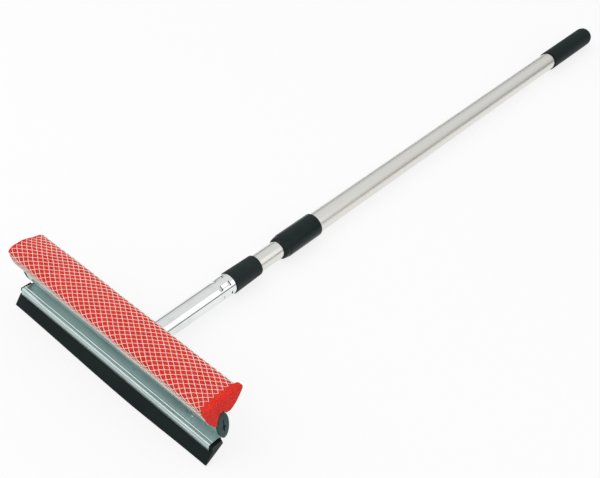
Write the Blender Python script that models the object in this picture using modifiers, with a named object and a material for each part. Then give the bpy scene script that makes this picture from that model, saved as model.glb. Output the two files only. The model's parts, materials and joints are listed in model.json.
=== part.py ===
"""Telescopic squeegee: a two-tube twist-lock pole with a metal head that carries a rubber blade
and a netted sponge. Metres, +Z up, +Y along the pole from the head to the grip, blade along X.
The part lies on its blade's tip and its grip, with the origin on the floor under the middle."""

import math

import bmesh
import bpy
from mathutils import Matrix, Vector

# Fits and steps
GAP = 0.0003
CUT_OVERRUN = 0.002
WELD_LAP = 0.0006
MERGE = 0.00001
ROUND_STEPS = 36
SMALL_STEPS = 14
ARC_STEPS = 4

# Head width, along X. The net stops short of the channel's right end, where the foam swells bare
CHANNEL_LENGTH = 0.248
BLADE_OVERHANG = 0.003
SPONGE_OVERHANG = 0.0035
NET_LEFT_SETBACK = 0.0006
NET_RIGHT_SETBACK = 0.0044
BLADE_LENGTH = CHANNEL_LENGTH + 2 * BLADE_OVERHANG
SPONGE_LENGTH = CHANNEL_LENGTH + 2 * SPONGE_OVERHANG

# Blade channel: a folded sheet with a rolled front bead
SHEET = 0.0008
WEB_HEIGHT = 0.0194
WEB_DEPTH = 0.0094
TONGUE_DEPTH = 0.0100
TONGUE_WIDTH = 0.052
TONGUE_FILLET = 0.004
TONGUE_CORNER = 0.003
RIDGE_HEIGHT = 0.00035
RIDGE_WIDTH = 0.0007
GROOVE_DEPTH = 0.0005
BEAD_RADIUS = 0.0043
BEAD_DROP = 0.0041
BEAD_START = math.radians(126)
BEAD_END = math.radians(-33)
BEAD_STEPS = 11

# Rubber blade, measured from the bead's centre
RUBBER_BACK = 0.0080
HEEL_BACK = 0.0094
HEEL_HEIGHT = 0.0123
SHOULDER_FORWARD = 0.0040
SHOULDER_HEIGHT = 0.0116
TIP_FORWARD = 0.0097
TIP_THICKNESS = 0.0018
TIP_ANGLE = math.radians(45)
RUBBER_NOSE_STEPS = 5

# Clamp strip behind the rubber
CLAMP_TOP_DEPTH = 0.0038
CLAMP_REACH = 0.0075
CLAMP_LIP = 0.0012

# Sponge channel: a leaning oval of sheet, open at the top
OVAL_HALF_WIDTH = 0.0058
OVAL_HALF_HEIGHT = 0.0180
OVAL_LEAN = math.radians(8)
OVAL_BACK = 0.0044
MOUTH_ANGLE = math.radians(60)
MOUTH_LIP = 0.0010
OVAL_STEPS = 22

# Sponge rod and net
ROD_DIAMETER = 0.0044
ROD_RISE = 0.0030
STRAND = 0.0011
NET_COLUMNS = 26

# Sponge: the net's outline, as shares of the sponge's width and height from its lower front corner
SPONGE_WIDTH = 0.0377
SPONGE_HEIGHT = 0.0200
SPONGE_RISE = 0.0125
SPONGE_FORWARD = 0.0181
SPONGE_EDGE = 0.0025
SPONGE_BARE = 0.0070
SPONGE_SIDE_SHARES = [
    (0.095, 0.000),
    (0.037, 0.270),
    (0.008, 0.540),
    (0.000, 0.800),
    (0.106, 0.950),
    (0.260, 0.985),
    (0.419, 0.995),
    (0.578, 0.990),
    (0.735, 0.965),
    (0.886, 0.920),
    (1.000, 0.770),
    (0.955, 0.510),
    (0.862, 0.290),
    (0.748, 0.090),
    (0.602, -0.030),
]
SPONGE_MIDDLE_SHARES = (0.5, 0.5)
NECK_HALF_WIDTH = 0.0022
NECK_RISE = 0.0014
NECK_FLARE_SHARES = (2.4, 1.5)

# Foam's scale at its left end, from the end face inwards, and where each lies in its rounded edge
LEFT_END_SHARES = [(0.0, 0.94), (0.3, 0.985), (1.0, 1.0)]

# Foam's scale at its right end, and where each lies in the bare stretch, which swells past the net
RIGHT_END_SHARES = [(0.0, 0.99), (0.1, 1.04), (0.35, 1.06), (0.7, 1.05), (1.0, 1.0)]

# End caps
CAP_FLANGE = 0.0033
CAP_RIM = 0.0003
CAP_SPIGOT = 0.009
CAP_BEVEL = 0.0008
CAP_SLOT_WIDTH = 0.0016
CAP_SLOT_LENGTH = 0.017
CAP_SLOT_DEPTH = 0.0011
CAP_RECESS_DIAMETER = 0.0046
CAP_RECESS_DEPTH = 0.0019
CAP_RECESS_DROP = 0.0030
CAP_STEPS = 32

# Head bracket: pressed sheet with a stub for the ferrule
BRACKET_SHEET = 0.0016
BRACKET_WIDTH = 0.048
BRACKET_NECK_WIDTH = 0.024
BRACKET_BEND_HEIGHT = 0.0262
BRACKET_PAD = 0.0090
BRACKET_CORNER = 0.003
EAR_WIDTH = 0.0115
EAR_DEPTH = 0.0096
STUB_WALL = 0.0014
STUB_LENGTH = 0.018

# Rivets
RIVET_DIAMETER = 0.0032
RIVET_HEAD_DIAMETER = 0.0060
RIVET_HEAD_HEIGHT = 0.0012
RIVET_TAIL_DIAMETER = 0.0050
RIVET_TAIL_HEIGHT = 0.0010
RIVET_DOME_SHARES = [(0.6, 0.8), (1.0, 0.2)]
RIVET_TAIL_SHARE = 0.8
EAR_RIVET_SPAN = 0.0365
PAD_RIVET_SPAN = 0.0280

# Chrome ferrule with lanced strips
FERRULE_WALL = 0.0006
FERRULE_FRONT_DIAMETER = 0.0212
FERRULE_BACK_DIAMETER = 0.0217
FERRULE_LENGTH = 0.124
LANCE_COUNT = 6
LANCE_COLUMNS = 4
LANCE_PITCH_COLUMNS = 8
LANCE_ANGLE = math.radians(55)
LANCE_SLIT = 0.0009
LANCE_STRIP = 0.0094
LANCE_SETBACK = 0.0057
LANCE_DEPTH = 0.0004

# Ribbed collar over the ferrule's end
COLLAR_LENGTH = 0.0365
COLLAR_FRONT_DIAMETER = 0.0236
COLLAR_BACK_DIAMETER = 0.0219
COLLAR_LAP = 0.0050
COLLAR_RIBS = 30
COLLAR_RIB_DEPTH = 0.00035
COLLAR_EDGE = 0.0008
COLLAR_SHOULDER = 0.0012

# Tubes: the inner one is longer, and its near end sits in the ferrule
OUTER_DIAMETER = 0.0220
OUTER_WALL = 0.0009
OUTER_LENGTH = 0.621
INNER_DIAMETER = 0.0190
INNER_WALL = 0.0008
INNER_EXTRA = 0.034
INNER_LENGTH = OUTER_LENGTH + INNER_EXTRA
SOCKET_DEPTH = 0.053
SHOWN_INNER = 0.0325

# Lock sleeve and grip
SLEEVE_LENGTH = 0.055
SLEEVE_DIAMETER = 0.0256
SLEEVE_NOSE = 0.0080
SLEEVE_LIP = 0.0008
SLEEVE_CHAMFER = 0.0010
SLEEVE_STEP = 0.0006
SLEEVE_STEP_SHARES = (0.86, 0.62)
SLEEVE_NOSE_SHARES = [(0.62, 0.38), (0.30, 0.12)]
SLEEVE_DIMPLE_RADIUS = 0.0014
SLEEVE_DIMPLE_DEPTH = 0.00056
SLEEVE_DIMPLE_SETBACK = 0.011
GRIP_LENGTH = 0.102
GRIP_DIAMETER = 0.0244
GRIP_END_WALL = 0.004
GRIP_DOME = 0.0075
GRIP_FLAT_DIAMETER = 0.0094
GRIP_EDGE = 0.0008
DOME_STEPS = 6
REST_CLEARANCE = 0.0004

# Twist lock at the inner tube's far end
ECCENTRIC = 0.0004
PLUG_DEPTH = 0.018
PLUG_FLANGE = 0.0040
JOURNAL_DIAMETER = 0.0112
JOURNAL_PLAY = 0.0007
RING_WIDTH = 0.0131
RING_CHAMFER = 0.0008
RING_SLIT = 0.0016
WASHER_DIAMETER = 0.0164
WASHER_THICKNESS = 0.0012
SCREW_DIAMETER = 0.0034
SCREW_LENGTH = 0.012
SCREW_HEAD_DIAMETER = 0.0078
SCREW_HEAD_HEIGHT = 0.0025
SCREW_TOP_SHARE = 0.72
SCREW_SLOT = 0.0010
PIN_DIAMETER = 0.0025
PIN_SETBACK = 0.009

# Places along the pole, counted from the back of the head bracket
FERRULE_END = GAP + FERRULE_LENGTH
COLLAR_START = FERRULE_END - COLLAR_LAP
COLLAR_END = COLLAR_START + COLLAR_LENGTH
INNER_START = FERRULE_END - SOCKET_DEPTH
INNER_END = INNER_START + INNER_LENGTH
SLEEVE_START = COLLAR_END + SHOWN_INNER
SLEEVE_END = SLEEVE_START + SLEEVE_LENGTH
OUTER_START = SLEEVE_START + SLEEVE_NOSE + GAP
OUTER_END = OUTER_START + OUTER_LENGTH
GRIP_END = OUTER_END + GAP + GRIP_END_WALL
GRIP_START = GRIP_END - GRIP_LENGTH
RING_START = INNER_END + GAP + PLUG_FLANGE + GAP
JOURNAL_END = RING_START + RING_WIDTH + GAP
WASHER_START = JOURNAL_END + GAP
AXIS_HEIGHT = SLEEVE_DIAMETER / 2 + REST_CLEARANCE

# Places in the head's section: forward of the bracket's back, and above the floor
TONGUE_REAR = BRACKET_SHEET + GAP
WEB_REAR = TONGUE_REAR + TONGUE_DEPTH
WEB_FRONT = WEB_REAR + WEB_DEPTH
BEAD_MIDDLE = BEAD_RADIUS - SHEET / 2
BEAD_FORWARD = WEB_FRONT + RIDGE_WIDTH + RIDGE_WIDTH - BEAD_MIDDLE * math.cos(BEAD_START)
BEAD_HEIGHT = WEB_HEIGHT - BEAD_DROP
RUBBER_TOP = WEB_HEIGHT - SHEET - GROOVE_DEPTH - GAP
OVAL_FORWARD = WEB_REAR + OVAL_BACK
OVAL_REACH_UP = math.hypot(
    OVAL_HALF_HEIGHT * math.cos(OVAL_LEAN), OVAL_HALF_WIDTH * math.sin(OVAL_LEAN)
)
OVAL_HEIGHT = WEB_HEIGHT + GAP + OVAL_REACH_UP
TIP_REACH = BEAD_FORWARD + TIP_FORWARD + TIP_THICKNESS * math.cos(TIP_ANGLE)
HEAD_Y = (TIP_REACH - GRIP_END) / 2

COLOURS = {
    "satin_aluminium": ((0.66, 0.67, 0.66, 1), 0.32, 1.0),
    "chrome": ((0.80, 0.81, 0.81, 1), 0.08, 1.0),
    "zinc_sheet": ((0.36, 0.42, 0.42, 1), 0.38, 0.9),
    "bright_steel": ((0.60, 0.61, 0.61, 1), 0.30, 1.0),
    "black_plastic": ((0.018, 0.020, 0.021, 1), 0.35, 0.0),
    "lock_plastic": ((0.55, 0.54, 0.50, 1), 0.50, 0.0),
    "black_rubber": ((0.020, 0.028, 0.029, 1), 0.62, 0.0),
    "red_foam": ((0.72, 0.035, 0.030, 1), 0.85, 0.0),
    "white_net": ((0.88, 0.80, 0.76, 1), 0.60, 0.0),
}


def clear_scene():
    for obj in list(bpy.data.objects):
        bpy.data.objects.remove(obj, do_unlink=True)


def make_collection(name):
    collection = bpy.data.collections.new(name)
    bpy.context.scene.collection.children.link(collection)
    return collection


def make_material(name):
    colour, roughness, metallic = COLOURS[name]
    material = bpy.data.materials.new(name)
    material.use_nodes = True
    shader = material.node_tree.nodes["Principled BSDF"]
    shader.inputs["Base Color"].default_value = colour
    shader.inputs["Roughness"].default_value = roughness
    shader.inputs["Metallic"].default_value = metallic
    return material


def material_named(name):
    return bpy.data.materials.get(name) or make_material(name)


def add_piece(name, mesh, material):
    """A named sub-part in the tool's own collection."""
    obj = bpy.data.objects.new(name, mesh)
    bpy.data.collections["telescopic_squeegee"].objects.link(obj)
    mesh.materials.clear()
    mesh.materials.append(material_named(material))
    return obj


def make_cutter(obj):
    """Moves an object to the cutters, which show as wires only."""
    for collection in list(obj.users_collection):
        collection.objects.unlink(obj)
    bpy.data.collections["cutters"].objects.link(obj)
    obj.hide_render = True
    obj.display_type = "WIRE"
    return obj


def boolean(target, other, operation):
    modifier = target.modifiers.new(operation.lower(), "BOOLEAN")
    modifier.operation = operation
    modifier.solver = "EXACT"
    modifier.object = make_cutter(other)
    return target


def cut(target, cutter):
    return boolean(target, cutter, "DIFFERENCE")


def join(target, other):
    return boolean(target, other, "UNION")


def shade(obj):
    """Smooth round faces, with edges over 35 degrees kept sharp."""
    obj.data.shade_smooth()
    obj.data.set_sharp_from_angle(angle=math.radians(35))
    return obj


def pole_matrix(across=0.0):
    """Local Z runs along the pole from the bracket's back, local X stays level."""
    turn = Matrix.Rotation(math.radians(-90), 4, "X")
    return Matrix.Translation((across, HEAD_Y, AXIS_HEIGHT)) @ turn


def section_matrix(across=0.0):
    """Local X runs forward, local Y up and local Z across the head, for outlines of its section."""
    turn = Matrix(((0, 0, -1), (-1, 0, 0), (0, 1, 0))).to_4x4()
    return Matrix.Translation((across, HEAD_Y, 0)) @ turn


def head_point(across, forward, height):
    return Vector((across, HEAD_Y - forward, height))


def turned(name, profile, material, steps=ROUND_STEPS):
    """A lathe piece. The profile holds radius and place, its outer side from the far end to the near."""
    mesh = bpy.data.meshes.new(name)
    closed = profile[0][0] > 0
    count = len(profile)
    edges = [(i, (i + 1) % count) for i in range(count if closed else count - 1)]
    mesh.from_pydata([(radius, 0, place) for radius, place in profile], edges, [])
    obj = add_piece(name, mesh, material)
    screw = obj.modifiers.new("lathe", "SCREW")
    screw.axis = "Z"
    screw.steps = steps
    screw.render_steps = steps
    screw.use_merge_vertices = True
    screw.merge_threshold = MERGE
    screw.use_smooth_shade = True
    return obj


def turned_on_pole(name, profile, material, steps=ROUND_STEPS, across=0.0):
    obj = turned(name, profile, material, steps)
    obj.matrix_world = pole_matrix(across)
    return obj


def extruded(name, outline, width, material):
    """A closed outline extruded to a width about its own plane, as a welded mesh."""
    curve = bpy.data.curves.new(name, "CURVE")
    curve.dimensions = "2D"
    curve.fill_mode = "BOTH"
    curve.extrude = width / 2
    spline = curve.splines.new("POLY")
    spline.points.add(len(outline) - 1)
    for point, (x, y) in zip(spline.points, outline):
        point.co = (x, y, 0, 1)
    spline.use_cyclic_u = True
    drawn = bpy.data.objects.new(name + "_outline", curve)
    bpy.context.scene.collection.objects.link(drawn)
    bpy.context.view_layer.update()
    seen = drawn.evaluated_get(bpy.context.evaluated_depsgraph_get())
    mesh = bpy.data.meshes.new_from_object(seen)
    bpy.data.objects.remove(drawn, do_unlink=True)
    shape = bmesh.new()
    shape.from_mesh(mesh)
    bmesh.ops.remove_doubles(shape, verts=shape.verts, dist=MERGE)
    bmesh.ops.recalc_face_normals(shape, faces=shape.faces)
    shape.to_mesh(mesh)
    shape.free()
    return add_piece(name, mesh, material)


def block(name, size, centre, material="zinc_sheet"):
    """A box with its scale in the mesh."""
    mesh = bpy.data.meshes.new(name)
    shape = bmesh.new()
    bmesh.ops.create_cube(shape, size=1)
    bmesh.ops.scale(shape, vec=size, verts=shape.verts)
    shape.to_mesh(mesh)
    shape.free()
    obj = add_piece(name, mesh, material)
    obj.location = centre
    return obj


def rod(name, diameter, length, centre, direction, material, steps=SMALL_STEPS):
    """A plain round bar about its centre."""
    mesh = bpy.data.meshes.new(name)
    shape = bmesh.new()
    bmesh.ops.create_cone(
        shape, cap_ends=True, segments=steps, radius1=diameter / 2, radius2=diameter / 2, depth=length
    )
    shape.to_mesh(mesh)
    shape.free()
    obj = add_piece(name, mesh, material)
    turn = Vector((0, 0, 1)).rotation_difference(Vector(direction)).to_matrix().to_4x4()
    obj.matrix_world = Matrix.Translation(centre) @ turn
    return obj


def folded_sheet(name, path, length, thickness, material):
    """A sheet whose middle line follows a path of forward and height, drawn to a length across."""
    mesh = bpy.data.meshes.new(name)
    shape = bmesh.new()
    left = [shape.verts.new(head_point(-length / 2, *point)) for point in path]
    right = [shape.verts.new(head_point(length / 2, *point)) for point in path]
    for i in range(len(path) - 1):
        shape.faces.new((left[i], right[i], right[i + 1], left[i + 1]))
    shape.to_mesh(mesh)
    shape.free()
    obj = add_piece(name, mesh, material)
    solidify = obj.modifiers.new("sheet", "SOLIDIFY")
    solidify.thickness = thickness
    solidify.offset = 0
    solidify.use_even_offset = True
    return obj


def arc(centre, radius, start, end, steps):
    """Points on an arc, from the start angle to the end angle."""
    cx, cy = centre
    angles = [start + (end - start) * i / steps for i in range(steps + 1)]
    return [(cx + radius * math.cos(a), cy + radius * math.sin(a)) for a in angles]


def oval_point(half_width, half_height, angle):
    """A point of the leaning oval, its angle counted from the top towards the front."""
    return oval_local(half_width * math.sin(angle), half_height * math.cos(angle))


def oval_local(forward, up):
    """A place in the oval's own leaning axes, as forward and height."""
    lean_cos = math.cos(OVAL_LEAN)
    lean_sin = math.sin(OVAL_LEAN)
    return (
        OVAL_FORWARD + forward * lean_cos + up * lean_sin,
        OVAL_HEIGHT - forward * lean_sin + up * lean_cos,
    )


def oval_axis():
    """The direction of the oval's narrow axis, pointing to the back."""
    return Vector((0, math.cos(OVAL_LEAN), math.sin(OVAL_LEAN)))


def offset_outline(points, distance):
    """A closed outline drawn in by a distance, corner by corner, for points that run clockwise."""
    moved = []
    count = len(points)
    for i in range(count):
        before = Vector(points[i - 1])
        here = Vector(points[i])
        after = Vector(points[(i + 1) % count])
        first = (here - before).normalized()
        second = (after - here).normalized()
        bisector = Vector((first.y + second.y, -first.x - second.x)).normalized()
        lean = bisector.dot(Vector((first.y, -first.x)))
        moved.append(tuple(here + bisector * (distance / lean)))
    return moved


def outer_tube():
    outer = OUTER_DIAMETER / 2
    bore = outer - OUTER_WALL
    profile = [(outer, OUTER_END), (outer, OUTER_START), (bore, OUTER_START), (bore, OUTER_END)]
    return turned_on_pole("outer_tube", profile, "satin_aluminium")


def inner_tube():
    outer = INNER_DIAMETER / 2
    bore = outer - INNER_WALL
    profile = [(outer, INNER_END), (outer, INNER_START), (bore, INNER_START), (bore, INNER_END)]
    tube = turned_on_pole("inner_tube", profile, "satin_aluminium")
    return cut(tube, pin_hole("tube_pin_hole"))


def lock_sleeve():
    """The black sleeve on the outer tube's mouth. Its nose closes down on the inner tube."""
    outer = SLEEVE_DIAMETER / 2
    bore = OUTER_DIAMETER / 2 + GAP
    nose_bore = INNER_DIAMETER / 2 + GAP
    lip = nose_bore + SLEEVE_LIP
    rise = outer - lip
    profile = [
        (outer - SLEEVE_CHAMFER, SLEEVE_END),
        (outer, SLEEVE_END - SLEEVE_CHAMFER),
        (outer, SLEEVE_START + SLEEVE_NOSE),
        *[(outer - SLEEVE_STEP, SLEEVE_START + SLEEVE_NOSE * along) for along in SLEEVE_STEP_SHARES],
        *[(lip + rise * up, SLEEVE_START + SLEEVE_NOSE * along) for up, along in SLEEVE_NOSE_SHARES],
        (lip, SLEEVE_START),
        (nose_bore, SLEEVE_START),
        (nose_bore, SLEEVE_START + SLEEVE_NOSE),
        (bore, SLEEVE_START + SLEEVE_NOSE),
        (bore, SLEEVE_END),
    ]
    sleeve = turned_on_pole("lock_sleeve", profile, "black_plastic")
    return cut(sleeve, sleeve_dimple())


def sleeve_dimple():
    """The small moulded mark on the sleeve's upper side."""
    mesh = bpy.data.meshes.new("sleeve_dimple")
    shape = bmesh.new()
    bmesh.ops.create_uvsphere(shape, u_segments=12, v_segments=8, radius=SLEEVE_DIMPLE_RADIUS)
    shape.to_mesh(mesh)
    shape.free()
    ball = add_piece("sleeve_dimple", mesh, "black_plastic")
    outward = Vector((math.cos(LANCE_ANGLE), 0, math.sin(LANCE_ANGLE)))
    place = Vector((0, HEAD_Y + SLEEVE_START + SLEEVE_DIMPLE_SETBACK, AXIS_HEIGHT))
    ball.location = place + outward * (SLEEVE_DIAMETER / 2 + SLEEVE_DIMPLE_RADIUS - SLEEVE_DIMPLE_DEPTH)
    return ball


def grip():
    """The closed hand grip over the outer tube's end, with a domed end round a flat."""
    outer = GRIP_DIAMETER / 2
    bore = OUTER_DIAMETER / 2 + GAP
    flat = GRIP_FLAT_DIAMETER / 2
    floor = OUTER_END + GAP
    dome = [
        (flat + (outer - flat) * math.sin(a), GRIP_END - GRIP_DOME * (1 - math.cos(a)))
        for a in [math.radians(90) * i / DOME_STEPS for i in range(DOME_STEPS + 1)]
    ]
    profile = [(0, GRIP_END)] + dome + [
        (outer, GRIP_START + GRIP_EDGE),
        (outer - GRIP_EDGE, GRIP_START),
        (bore, GRIP_START),
        (bore, floor),
        (0, floor),
    ]
    return turned_on_pole("grip", profile, "black_plastic")


def ferrule_radius(place):
    """The ferrule's outer radius, which opens slightly towards the collar."""
    share = (place - GAP) / FERRULE_LENGTH
    front = FERRULE_FRONT_DIAMETER / 2
    return front + (FERRULE_BACK_DIAMETER / 2 - front) * share


def ferrule():
    """Rolled chrome sheet. Pairs of slits free short strips, which are pressed in on the inner tube."""
    columns = LANCE_COUNT * LANCE_PITCH_COLUMNS
    far_slit = COLLAR_START - LANCE_SETBACK + LANCE_SLIT
    near_slit = far_slit - LANCE_SLIT - LANCE_STRIP
    places = [
        GAP,
        near_slit - LANCE_SLIT,
        near_slit,
        near_slit + LANCE_STRIP / 2,
        near_slit + LANCE_STRIP,
        far_slit,
        FERRULE_END,
    ]
    strip_rows = (2, 3, 4)
    slit_rows = (1, 4)
    turn = 2 * math.pi / columns
    first = -LANCE_ANGLE - LANCE_COLUMNS * turn / 2
    mesh = bpy.data.meshes.new("ferrule")
    shape = bmesh.new()
    rows = []
    for row, place in enumerate(places):
        ring = []
        for column in range(columns):
            inside = 0 < column % LANCE_PITCH_COLUMNS < LANCE_COLUMNS
            pressed = LANCE_DEPTH if row in strip_rows and inside else 0
            radius = ferrule_radius(place) - FERRULE_WALL / 2 - pressed
            angle = first + column * turn
            ring.append(shape.verts.new((radius * math.cos(angle), radius * math.sin(angle), place)))
        rows.append(ring)
    for row in range(len(places) - 1):
        for column in range(columns):
            slit = row in slit_rows and column % LANCE_PITCH_COLUMNS < LANCE_COLUMNS
            if slit:
                continue
            after = (column + 1) % columns
            shape.faces.new(
                (rows[row][column], rows[row][after], rows[row + 1][after], rows[row + 1][column])
            )
    shape.to_mesh(mesh)
    shape.free()
    obj = shade(add_piece("ferrule", mesh, "chrome"))
    solidify = obj.modifiers.new("sheet", "SOLIDIFY")
    solidify.thickness = FERRULE_WALL
    solidify.offset = 0
    solidify.use_even_offset = True
    obj.matrix_world = pole_matrix()
    return obj


def socket_collar():
    """The black collar that closes the ferrule on the inner tube, with fine ribs along it."""
    front = COLLAR_FRONT_DIAMETER / 2
    back = COLLAR_BACK_DIAMETER / 2
    bore = INNER_DIAMETER / 2 + GAP
    lap_bore = FERRULE_BACK_DIAMETER / 2 + GAP
    profile = [
        (back - COLLAR_EDGE, COLLAR_END),
        (back, COLLAR_END - COLLAR_EDGE),
        (back, COLLAR_END - COLLAR_SHOULDER),
        (front, COLLAR_START + COLLAR_SHOULDER),
        (front, COLLAR_START + COLLAR_EDGE / 2),
        (front - COLLAR_EDGE / 2, COLLAR_START),
        (lap_bore, COLLAR_START),
        (lap_bore, FERRULE_END + GAP),
        (bore, FERRULE_END + GAP),
        (bore, COLLAR_END),
    ]
    steps = 2 * COLLAR_RIBS
    blank = turned("collar_blank", profile, "black_plastic", steps)
    bpy.context.view_layer.update()
    seen = blank.evaluated_get(bpy.context.evaluated_depsgraph_get())
    mesh = bpy.data.meshes.new_from_object(seen)
    bpy.data.objects.remove(blank, do_unlink=True)
    ribbed_places = (COLLAR_END - COLLAR_SHOULDER, COLLAR_START + COLLAR_SHOULDER)
    for vertex in mesh.vertices:
        step = round(math.atan2(vertex.co.y, vertex.co.x) / (2 * math.pi) * steps)
        ribbed = any(abs(vertex.co.z - place) < MERGE for place in ribbed_places)
        if ribbed and step % 2:
            vertex.co.xy *= 1 - COLLAR_RIB_DEPTH / vertex.co.xy.length
    obj = add_piece("socket_collar", mesh, "black_plastic")
    obj.matrix_world = pole_matrix()
    return obj


def pin_hole(name):
    place = Vector((0, HEAD_Y + INNER_END - PIN_SETBACK, AXIS_HEIGHT))
    length = INNER_DIAMETER + 2 * CUT_OVERRUN
    return rod(name, PIN_DIAMETER + 2 * GAP, length, place, (1, 0, 0), "bright_steel")


def plug_pin():
    place = Vector((0, HEAD_Y + INNER_END - PIN_SETBACK, AXIS_HEIGHT))
    return shade(rod("plug_pin", PIN_DIAMETER, INNER_DIAMETER, place, (1, 0, 0), "bright_steel"))


def lock_plug():
    """The plug in the inner tube's end, with an off-centre journal that wedges the ring as it turns."""
    spigot = INNER_DIAMETER / 2 - INNER_WALL - GAP
    flange = INNER_DIAMETER / 2
    flange_start = INNER_END + GAP
    profile = [
        (0, flange_start + PLUG_FLANGE),
        (flange, flange_start + PLUG_FLANGE),
        (flange, flange_start),
        (spigot, flange_start),
        (spigot, INNER_END - PLUG_DEPTH),
        (0, INNER_END - PLUG_DEPTH),
    ]
    plug = turned_on_pole("lock_plug", profile, "lock_plastic")
    journal = [
        (0, JOURNAL_END),
        (JOURNAL_DIAMETER / 2, JOURNAL_END),
        (JOURNAL_DIAMETER / 2, flange_start + PLUG_FLANGE - WELD_LAP),
        (0, flange_start + PLUG_FLANGE - WELD_LAP),
    ]
    join(plug, turned_on_pole("journal", journal, "lock_plastic", ROUND_STEPS, ECCENTRIC))
    cut(plug, pin_hole("plug_pin_hole"))
    depth = SCREW_LENGTH + GAP + CUT_OVERRUN
    place = Vector((ECCENTRIC, HEAD_Y + JOURNAL_END + CUT_OVERRUN - depth / 2, AXIS_HEIGHT))
    hole = rod("screw_hole", SCREW_DIAMETER + 2 * GAP, depth, place, (0, 1, 0), "lock_plastic")
    return cut(plug, hole)


def expander_ring():
    """The split ring round the journal, which grips the outer tube's bore."""
    outer = OUTER_DIAMETER / 2 - OUTER_WALL - GAP
    end = RING_START + RING_WIDTH
    profile = [
        (0, end),
        (outer - RING_CHAMFER, end),
        (outer, end - RING_CHAMFER),
        (outer, RING_START + RING_CHAMFER),
        (outer - RING_CHAMFER, RING_START),
        (0, RING_START),
    ]
    ring = turned_on_pole("expander_ring", profile, "lock_plastic")
    middle = HEAD_Y + RING_START + RING_WIDTH / 2
    length = RING_WIDTH + 2 * CUT_OVERRUN
    bore = JOURNAL_DIAMETER + 2 * JOURNAL_PLAY
    place = Vector((ECCENTRIC, middle, AXIS_HEIGHT))
    cut(ring, rod("ring_bore", bore, length, place, (0, 1, 0), "lock_plastic", ROUND_STEPS))
    reach = OUTER_DIAMETER / 2
    slit = block("ring_slit", (reach, length, RING_SLIT), (-reach / 2 - RING_SLIT, middle, AXIS_HEIGHT))
    return cut(ring, slit)


def lock_washer():
    outer = WASHER_DIAMETER / 2
    bore = SCREW_DIAMETER / 2 + GAP
    end = WASHER_START + WASHER_THICKNESS
    profile = [(outer, end), (outer, WASHER_START), (bore, WASHER_START), (bore, end)]
    return turned_on_pole("lock_washer", profile, "bright_steel", ROUND_STEPS, ECCENTRIC)


def lock_screw():
    head = SCREW_HEAD_DIAMETER / 2
    shank = SCREW_DIAMETER / 2
    seat = WASHER_START + WASHER_THICKNESS + GAP
    top = seat + SCREW_HEAD_HEIGHT
    profile = [
        (0, top),
        (head * SCREW_TOP_SHARE, top),
        (head, top - SCREW_HEAD_HEIGHT / 2),
        (head, seat),
        (shank, seat),
        (shank, JOURNAL_END - SCREW_LENGTH),
        (0, JOURNAL_END - SCREW_LENGTH),
    ]
    screw = turned_on_pole("lock_screw", profile, "bright_steel", SMALL_STEPS, ECCENTRIC)
    place = (ECCENTRIC, HEAD_Y + top, AXIS_HEIGHT)
    slot = block("screw_slot", (SCREW_HEAD_DIAMETER * 2, SCREW_HEAD_HEIGHT, SCREW_SLOT), place)
    return cut(screw, slot)


def web_path():
    """The channel's middle line: web, ridge, groove and the bead's roll down over the rubber."""
    middle = WEB_HEIGHT - SHEET / 2
    bead = arc((BEAD_FORWARD, BEAD_HEIGHT), BEAD_MIDDLE, BEAD_START, BEAD_END, BEAD_STEPS)
    return [
        (WEB_REAR, middle),
        (WEB_FRONT - RIDGE_WIDTH, middle),
        (WEB_FRONT, middle + RIDGE_HEIGHT),
        (WEB_FRONT + RIDGE_WIDTH, middle + RIDGE_HEIGHT / 2),
    ] + bead


def tongue_outline():
    """The tongue's plan behind the web's rear edge: rounded corners, and fillets where it meets it."""
    half = TONGUE_WIDTH / 2
    corner = TONGUE_CORNER
    depth = TONGUE_DEPTH
    fillet = arc((half + TONGUE_FILLET, TONGUE_FILLET), TONGUE_FILLET, -math.pi / 2, -math.pi, ARC_STEPS)
    tip = arc((half - corner, depth - corner), corner, 0, math.pi / 2, ARC_STEPS)
    side = [(half + TONGUE_FILLET, -WELD_LAP)] + fillet + tip
    return side + [(-across, back) for across, back in reversed(side)]


def blade_channel():
    """One folded sheet, with a tongue at its middle that is riveted to the bracket."""
    channel = folded_sheet("blade_channel", web_path(), CHANNEL_LENGTH, SHEET, "zinc_sheet")
    plate = extruded("web_tongue", tongue_outline(), SHEET, "zinc_sheet")
    plate.location = head_point(0, WEB_REAR, WEB_HEIGHT - SHEET / 2)
    join(channel, plate)
    for side in (-1, 1):
        cut(channel, ear_rivet_hole("channel_hole", side))
    return channel


def ear_rivet_place(side, height):
    forward = TONGUE_REAR + TONGUE_DEPTH / 2
    return head_point(side * EAR_RIVET_SPAN / 2, forward, height)


def ear_rivet_hole(name, side):
    length = 2 * (SHEET + BRACKET_SHEET) + 2 * CUT_OVERRUN
    centre = ear_rivet_place(side, WEB_HEIGHT - SHEET)
    return rod(name, RIVET_DIAMETER + 2 * GAP, length, centre, (0, 0, 1), "zinc_sheet")


def rubber_outline():
    """The blade's section: a root under the web and bead, then a wedge to the tip."""
    inside = BEAD_RADIUS - SHEET - GAP
    start = math.asin(min(1, (RUBBER_TOP - BEAD_HEIGHT) / inside))
    nose = arc((BEAD_FORWARD, BEAD_HEIGHT), inside, start, BEAD_END, RUBBER_NOSE_STEPS)
    tip = (BEAD_FORWARD + TIP_FORWARD, 0)
    across = (TIP_THICKNESS * math.cos(TIP_ANGLE), TIP_THICKNESS * math.sin(TIP_ANGLE))
    return (
        [(BEAD_FORWARD - RUBBER_BACK, RUBBER_TOP)]
        + nose
        + [
            (nose[-1][0], SHOULDER_HEIGHT + GAP),
            (BEAD_FORWARD + SHOULDER_FORWARD, SHOULDER_HEIGHT),
            (tip[0] + across[0], tip[1] + across[1]),
            tip,
            (BEAD_FORWARD - HEEL_BACK, HEEL_HEIGHT),
        ]
    )


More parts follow.
